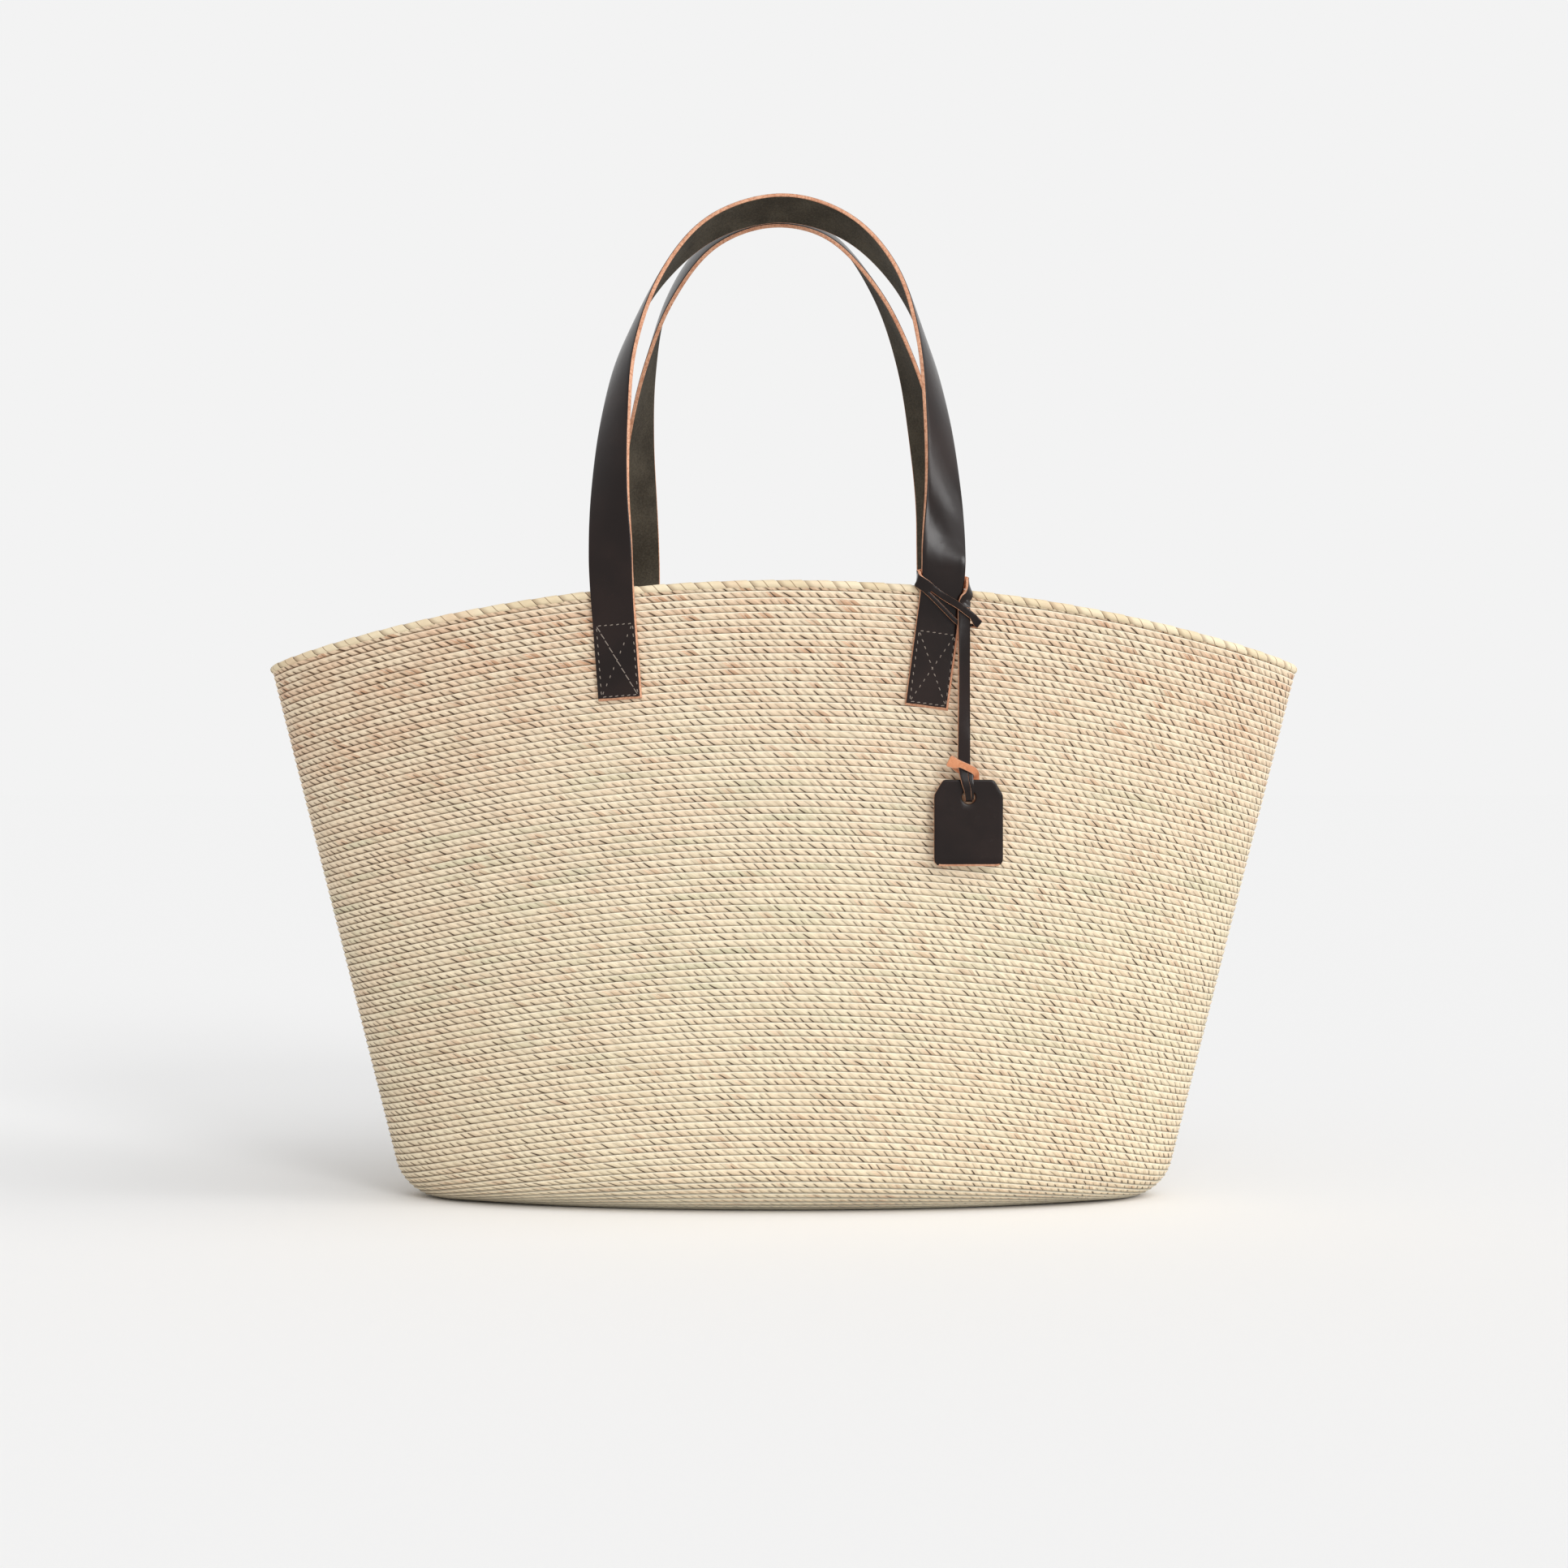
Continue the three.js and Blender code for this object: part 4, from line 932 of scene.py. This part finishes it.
def inner_patch(name, leg, back):
    middles, acrosses, outs = [], [], []
    for z in np.linspace(-1, 1, 13) * (SEAM_HEIGHT / 2 + SEAM_MARGIN) + leg["seam_z"]:
        _, across, out, _ = leg_section(leg, z)
        share, angle = front_wall_place(leg_x(leg, z), z)
        middles.append(basket_offset(angle, share, -(BRAID_THICKNESS + SEAT_GAP + PATCH_THICKNESS / 2)))
        acrosses.append(across)
        outs.append(out)
    line = Sections(middles, acrosses, outs).flipped()
    if back:
        line = turned(line)
    piece = ribbon_object(name, [ribbon(line, STRAP_WIDTH, PATCH_THICKNESS, 0.4, 8)], STRAP_LOOKS)
    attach(piece, "bag")
    return piece


for face, handle in (("front", FRONT_HANDLE), ("back", BACK_HANDLE)):
    strap(face, handle)
    back = face == "back"
    for laid, other in (("left", "right"), ("right", "left")):
        side = other if back else laid
        leg = handle[laid]
        seam = stitches(f"{face}_{side}_stitches", leg, SEAM_CROSS[laid], back)
        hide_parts(f"{face}_{side}_seam_thread")
        patch = inner_patch(f"{face}_{side}_patch", leg, back)
        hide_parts(f"{face}_{side}_inner_patch")


LAYER = LACE_THICKNESS + SEAT_GAP
ON_FACE = SEAT_GAP + LACE_THICKNESS / 2
STRIP_FACE = ON_FACE + LAYER


class Local:
    """A frame to lay the lace out in: right, up and out from the strap's face"""

    def __init__(self, origin, right, up, out):
        self.origin = np.asarray(origin, float)
        self.axes = np.array([right, up, out], float)

    def direction(self, d):
        return np.asarray(d, float) @ self.axes

    def point(self, p):
        return self.direction(p) + self.origin


def strap_face_frame(leg, z):
    middle, normal = leg_place(leg, z)
    out = unit(normal * np.array([1, 1, 0]))
    return Local(middle + out * STRAP_THICKNESS / 2, np.cross(UP, out), UP, out)


def lace_sections(stations, steps, local, trim):
    """Sections through stations of (place, direction across, share of the whole width)"""
    places = local.point([s[0] for s in stations])
    acrosses = local.direction([s[1] for s in stations])
    narrows = np.array([[s[2] if len(s) > 2 else 1.0] for s in stations])
    shares = np.linspace(0, 1, steps + 1)
    along = unit(catmull_along(places, shares))
    across = catmull(acrosses, shares)
    across = unit(across - (across * along).sum(1, keepdims=True) * along)
    out = np.cross(across, along)
    return Sections(catmull(places, shares), across, out, catmull(narrows, shares)[:, 0], trim)


knot_leg = FRONT_HANDLE["right"]
knot_z = fold_z - KNOT_BELOW_FOLD
knot_frame = strap_face_frame(knot_leg, knot_z)
pivot_drop = STRIP_OUT * math.tan(KNOT_SLOPE)
hole_frame = Local(
    knot_frame.point([
        STRIP_OUT + TAG_OFF_STRIP, -pivot_drop - STRIP_LENGTH - TAG_HOLE_BELOW_BEND,
        STRIP_FACE - ON_FACE - TAG_THICKNESS / 2,
    ]),
    *knot_frame.axes,
)


def half_lace(side, main):
    """The width of the half on one side of a slit, and the place of its middle across the lace"""
    width = (LACE_WIDTH - SEAT_GAP) * (SLIT_SHARE if side == main else 1 - SLIT_SHARE)
    return width, side * (LACE_WIDTH - width) / 2


def lace_ribbon(sections):
    return ribbon(sections, LACE_WIDTH, LACE_THICKNESS, LACE_BEVEL, 6)


def slit_end(local, start, angle, end, passings, outs, tip_out, leads, main):
    """Two halves that part to let the hanging strip through and meet again at the tip. The main side's
    half lies in front and widens into the tip, and the other one ends behind it."""
    c, s = math.cos(angle), math.sin(angle)
    across = (-s, c, 0)
    tip, slit_stop = end["tip"], end["slit"][1]

    def at(q, side, out):
        return (start[0] + q * c - side * s, start[1] + q * s + side * c, out)

    ribbons = []
    for side, lead, out, (begin, stop) in zip((1, -1), leads, outs, passings):
        width, beside = half_lace(side, main)
        gape = side * (0.08 if side > 0 else 1) * end["opening"]
        passing = ((begin, 1, 1), ((begin + stop) / 2, 0.62, 1), (stop, 0, 1 if side == main else 0.75))
        stations = list(lead)
        stations += [(at(q, beside + gape * opened, out), across, share) for q, opened, share in passing]
        # The distance along the lace, how far the half has become the tip, and its share of the width
        if side == main:
            ending = (
                (slit_stop - 0.4, 0.3, 1), (slit_stop + 1.4, 0.7, 1), (tip - 0.9, 0.97, 1), (tip, 1, 0.84),
            )
        else:
            ending = ((tip - 0.9, 1, 0.7),)
        for q, joined, share in ending:
            turn = end["tip_tilt"] * joined
            turned_across = (-s * math.cos(turn), c * math.cos(turn), math.sin(turn))
            if side == main:
                place = at(q, beside * (1 - joined), tip_out)
                share *= 1 + (end["tip_width"] / width - 1) * joined
            else:
                place = at(q, beside * 0.7, tip_out - 1.5)
            stations.append((place, turned_across, share))
        line = lace_sections(stations, 64, local, SLIT_TRIM[side])
        ribbons.append(ribbon(line.flipped() if main > 0 else line, width, LACE_THICKNESS, LACE_BEVEL, 4))
    return ribbons


def knot():
    c, s = math.cos(KNOT_SLOPE), math.sin(KNOT_SLOPE)
    behind = -(STRAP_THICKNESS + ON_FACE)
    left, right = WRAP_HEIGHT
    end = -pivot_drop + LACE_WIDTH / 2 + SEAT_GAP
    slit_start = KNOT_END["slit"][0]
    rise = 5
    lifted = leg_place(knot_leg, knot_z + rise)[0] - knot_frame.origin
    face_lean = (lifted @ knot_frame.axes[2] + STRAP_THICKNESS / 2) / rise

    def beside(side, out, v):
        return side * (STRAP_WIDTH / 2 + out) + leg_x(knot_leg, knot_z + v) - leg_x(knot_leg, knot_z)

    def on_band(q, side, out):
        v = side * c - q * s
        return (q * c + side * s, v, out + face_lean * max(v, 0))

    wrap = [
        (on_band(slit_start + 0.4, 0, ON_FACE), (s, c, 0)),
        (on_band(slit_start - 3.4, 0.3, ON_FACE + 0.15), (s, c, 0.1)),
        ((beside(-1, 1.4, left - 4), left - 4, 1.5), (0.35, 0.9, 0.2)),
        ((beside(-1, 1.5, left - 1.8), left - 1.8, -1.3), (0.1, 0.97, 0.2)),
        ((beside(-1, 1, left - 0.5), left - 0.5, behind + 0.3), (0, 1, 0.1)),
        ((beside(-1, -4, left), left, behind), (0, 1, 0)),
        ((0, (left + right) / 2, behind), (0.15, 1, 0)),
        ((beside(1, -3.5, right), right + 0.5, behind), (0.1, 1, 0)),
        ((beside(1, 1, right), right - 0.4, behind + 0.3), (0.05, 1, 0.15)),
        ((beside(1, 1.6, right), right - 1.5, -1.5), (-0.22, 0.9, 0.4)),
        ((beside(1, 1.9, right), right - 4.4, 0.9), (-0.45, 0.52, 0.72)),
        ((beside(1, 1.3, right), right - 7.4, 2.1), (-0.65, 0.25, 0.68)),
        ((STRIP_OUT + 0.9, end + 4.6, STRIP_FACE - 0.6), (-0.8, 0.1, 0.5)),
        ((STRIP_OUT + 0.2, end + 1.8, STRIP_FACE - 0.1), (-1, 0, 0.15)),
        ((STRIP_OUT, end, STRIP_FACE), (-1, 0, 0)),
    ]
    crossing = [(STRIP_OUT + side * LACE_WIDTH / 2) / c for side in (-1, 1)]
    leads = []
    for side in (1, -1):
        opened = KNOT_END["opening"] if side < 0 else 0
        beside_slit = half_lace(side, 1)[1]
        leads.append([
            (on_band(slit_start + q, beside_slit - opened * max(0, q) / 22, ON_FACE + lift), (s, c, 0))
            for q, lift in ((-1.2, 0), (1, 0.2 if side > 0 else 0.1), (8, 0.3 if side > 0 else 0.15))
        ])
    halves = slit_end(
        knot_frame, (0, 0), -KNOT_SLOPE, KNOT_END,
        ((crossing[0] - 0.8, crossing[1] + 0.6), (crossing[0] + 3.8, crossing[1] + 3.6)),
        (STRIP_FACE + LAYER, ON_FACE), STRIP_FACE + LAYER + 0.15, leads, 1,
    )
    band = lace_ribbon(lace_sections(wrap, 110, knot_frame, LACE_TRIM))
    piece = ribbon_object("lace_knot_loop", [band, *halves], LACE_LOOKS)
    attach(piece, "bag")
    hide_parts("lace_knot")


def hanging_lace():
    """The long part from its pivot in the upper slit, through the tag's hole, to the lower tip"""
    top = TAG_HOLE_BELOW_TOP
    front = TAG_THICKNESS / 2 + ON_FACE
    tight = HOLE_LACE_NARROW
    flat = (-1, 0, 0)
    bend = TAG_HOLE_BELOW_BEND
    upper = bend + STRIP_LENGTH + LACE_WIDTH / 2 - SWING_ROOM

    def turned_across(share):
        turn = math.radians(STRIP_TURN) * math.sin(math.pi * share)
        return (-math.cos(turn), 0, math.sin(turn))

    down = [
        ((-TAG_OFF_STRIP, upper + (bend + 4 - upper) * share, front), turned_across(share))
        for share in np.linspace(0, 1, 9)
    ]
    band = [
        ((-TAG_OFF_STRIP, bend - 6, front), flat),
        ((-2.3, top + 4.2, front + 0.1), flat),
        ((-1.4, top - 1.5, front + 1.2), flat, 0.9),
        ((-0.6, 3.8, front + 1.1), flat, tight + 0.1),
        ((0, -0.5, front - 0.8), flat, tight),
        ((0, -1.5, 0), flat, tight),
        ((0.2, -0.5, 0.8 - front), flat, tight),
        ((1.2, 4, -front - 0.6), flat, tight + 0.1),
        ((2.3, 6.6, -front - 0.3), (-0.97, 0.15, 0), 0.9),
    ]
    line = lace_sections(down + band, 200, hole_frame, LACE_TRIM)
    leads = [
        [
            ((0.5, 6, -front - 0.4), (-0.97, 0.15, 0)),
            ((0.8, 7.4, -front - 0.2), (-1, 0, 0)),
            ((1, top + 0.8, -front), (-1, -0.2, 0)),
            ((0.7, top + 2.2, -1.5), (-0.7, -0.7, 0)),
        ],
        [
            ((3.9, 6, -front - 0.4), (-0.97, 0.15, 0)),
            ((4.3, 7.4, -front - 0.2), (-1, 0, 0)),
            ((4.5, top + 1, -front), (-1, -0.2, 0)),
            ((4.2, top + 3, -0.7), (-0.85, -0.5, 0)),
            ((3.3, top + 4, 2.6), (-0.6, -0.8, 0)),
        ],
    ]
    slit_start, slit_stop = LOOP_END["slit"]
    halves = slit_end(
        hole_frame, (2, top + 2.9), math.radians(180 - LOOP_TIP_SLOPE), LOOP_END,
        [(slit_start, slit_stop - 2)] * 2, (front - LAYER, front + LAYER), front + LAYER - 0.2, leads, -1,
    )
    # The lace folds lengthwise to pass the hole, and its folded edge lies on its front
    fold = [
        ((0.3, top + 6.4, front + 0.5), flat, 0.44),
        ((0.4, top + 3.4, front + 0.9), flat, 0.48),
        ((0.55, top, front + 1.6), flat, 0.46),
        ((1.1, 6.5, front + 2.0), flat, 0.36),
        ((1.6, 2.2, front + 1.7), flat, 0.26),
        ((1.8, -1.0, front - 0.2), flat, 0.22),
    ]
    folded = lace_sections(fold, 30, hole_frame, FOLD_TRIM)
    folded = ribbon(folded, LACE_WIDTH, LACE_THICKNESS * 0.6, 0.25, 4)
    piece = ribbon_object("lace_hanging", [lace_ribbon(line), folded, *halves], LACE_LOOKS)
    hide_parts("lace_strip", "lace_loop")
    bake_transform(piece)


def tag():
    """A thick blank of leather with its top corners cut off, bare on both faces"""
    w = TAG_WIDTH / 2
    top, r = TAG_HOLE_BELOW_TOP, TAG_CORNER_RADIUS
    bottom = top - TAG_HEIGHT
    quarter = np.linspace(0, math.pi / 2, 9)
    outline = [(w - TAG_CHAMFER_WIDTH, top), (TAG_CHAMFER_WIDTH - w, top), (-w, top - TAG_CHAMFER_HEIGHT)]
    outline += [(r - w - r * math.cos(a), bottom + r - r * math.sin(a)) for a in quarter]
    outline += [(w - r + r * math.sin(a), bottom + r - r * math.cos(a)) for a in quarter]
    outline += [(w, top - TAG_CHAMFER_HEIGHT)]
    dense = []
    for a, b in zip(outline, outline[1:] + outline[:1]):
        a, b = np.array(a), np.array(b)
        parts = max(1, round(np.linalg.norm(b - a) / 1.5))
        dense += [a + (b - a) * i / parts for i in range(parts)]
    edge = np.array(dense)
    edge = (np.roll(edge, 1, 0) + 2 * edge + np.roll(edge, -1, 0)) / 4
    count = len(edge)
    bearing = np.arctan2(edge[:, 1], edge[:, 0])
    hole = TAG_HOLE_RADIUS * np.stack([np.cos(bearing), np.sin(bearing)], -1)
    tangent = unit(np.roll(edge, -1, 0) - np.roll(edge, 1, 0))
    inward = np.stack([-tangent[:, 1], tangent[:, 0]], -1)
    t, b = TAG_THICKNESS / 2, TAG_BEVEL
    rings, sides = [], []

    def ring(flat, out, side):
        rings.append(np.column_stack([flat, np.full(count, out)]))
        sides.append(np.broadcast_to(side, count))

    # The blank's lower edge is cut at a slant that shows from the front
    shown = inward[:, 1] > 0.9
    edge_side = np.where(shown, 2, 0)
    slant = np.where(shown, 0.3, 0.0)[:, None]
    corner = np.radians([0, 30, 60, 90])
    for a in corner:
        ring(hole * (1 + b / TAG_HOLE_RADIUS * (1 - math.cos(a))), t - b + b * math.sin(a), 0)
    for share in (0.12, 0.3, 0.5, 0.7, 0.88):
        ring(hole + (edge + inward * (b + slant) - hole) * share, t, 0)
    for a in corner[::-1]:
        back = b * (1 - math.cos(a)) + slant * math.sin(a)
        ring(edge + inward * back, t - b + b * math.sin(a), edge_side if a > 0 else 2)
    for a in corner:
        ring(edge + inward * b * (1 - math.cos(a)), b - t - b * math.sin(a), 2)
    sides[-1] = np.ones(count, int)
    for share in (0.88, 0.6, 0.3, 0.12):
        ring(hole + (edge + inward * b - hole) * share, -t, 1)
    for a in corner[::-1]:
        ring(hole * (1 + b / TAG_HOLE_RADIUS * (1 - math.cos(a))), b - t - b * math.sin(a), 2)
    rings.append(rings[0])
    grid = np.array(rings)
    points = hole_frame.point(grid.reshape(-1, 3))
    quads = grid_faces(len(rings), count, around=True)
    closed = np.concatenate([grid, grid[:, :1]], 1)
    uvs = grid_uvs(closed[..., 0], closed[..., 1])
    piece = mesh_object("tag_blank", points, [quads], uvs, LACE_LOOKS, np.concatenate(sides))
    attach(piece, "tag")
    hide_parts("hang_tag")


knot()
hanging_lace()
tag()


def studio():
    size = FLOOR_HALF_SIZE
    mesh = bpy.data.meshes.new("floor")
    mesh.from_pydata([(-size, -size, 0), (size, -size, 0), (size, size, 0), (-size, size, 0)], [], [range(4)])
    mesh.materials.append(Look("floor").finish(srgb(*[FLOOR_GREY] * 3), 1.0, specular=0.0))
    floor = linked("floor", mesh)

    # The surround lights the object evenly, and looks like the backdrop to the camera and in reflections
    world = bpy.data.worlds.new("studio")
    bpy.context.scene.world = world
    world.use_nodes = True
    sky = Nodes(world.node_tree)
    sky.tree.nodes.clear()
    path = sky.node("ShaderNodeLightPath").outputs
    seen_by = path["Is Camera Ray"]
    for ray in ("Is Glossy Ray", "Is Transmission Ray"):
        seen_by = sky.math("MAXIMUM", seen_by, path[ray])
    lit = sky.node("ShaderNodeBackground", {"Color": (1.0, 1.0, 1.0, 1.0), "Strength": AMBIENT})
    seen = sky.node("ShaderNodeBackground", {"Color": srgb(*[BACKGROUND] * 3), "Strength": 1.0})
    choice = sky.node("ShaderNodeMixShader", {0: seen_by, 1: lit.outputs[0], 2: seen.outputs[0]})
    sky.node("ShaderNodeOutputWorld", {0: choice.outputs[0]})

    for name, (energy, spread, tilt, bearing) in LAMPS.items():
        light = bpy.data.lights.new(name, "SUN")
        light.energy = energy
        light.angle = math.radians(spread)
        linked(name, light).rotation_euler = (math.radians(tilt), 0, math.radians(bearing))

    camera = bpy.data.cameras.new("camera")
    camera.angle = 2 * math.atan(PHOTO_WIDTH / 2 / FOCAL_LENGTH)
    camera.clip_end = 200
    view = linked("camera", camera)
    view.location = (0, -CAMERA_DISTANCE * MM, CAMERA_HEIGHT * MM)
    view.rotation_euler = (math.pi / 2, 0, 0)
    bpy.context.scene.camera = view
    bpy.context.scene.view_settings.view_transform = "Standard"


studio()
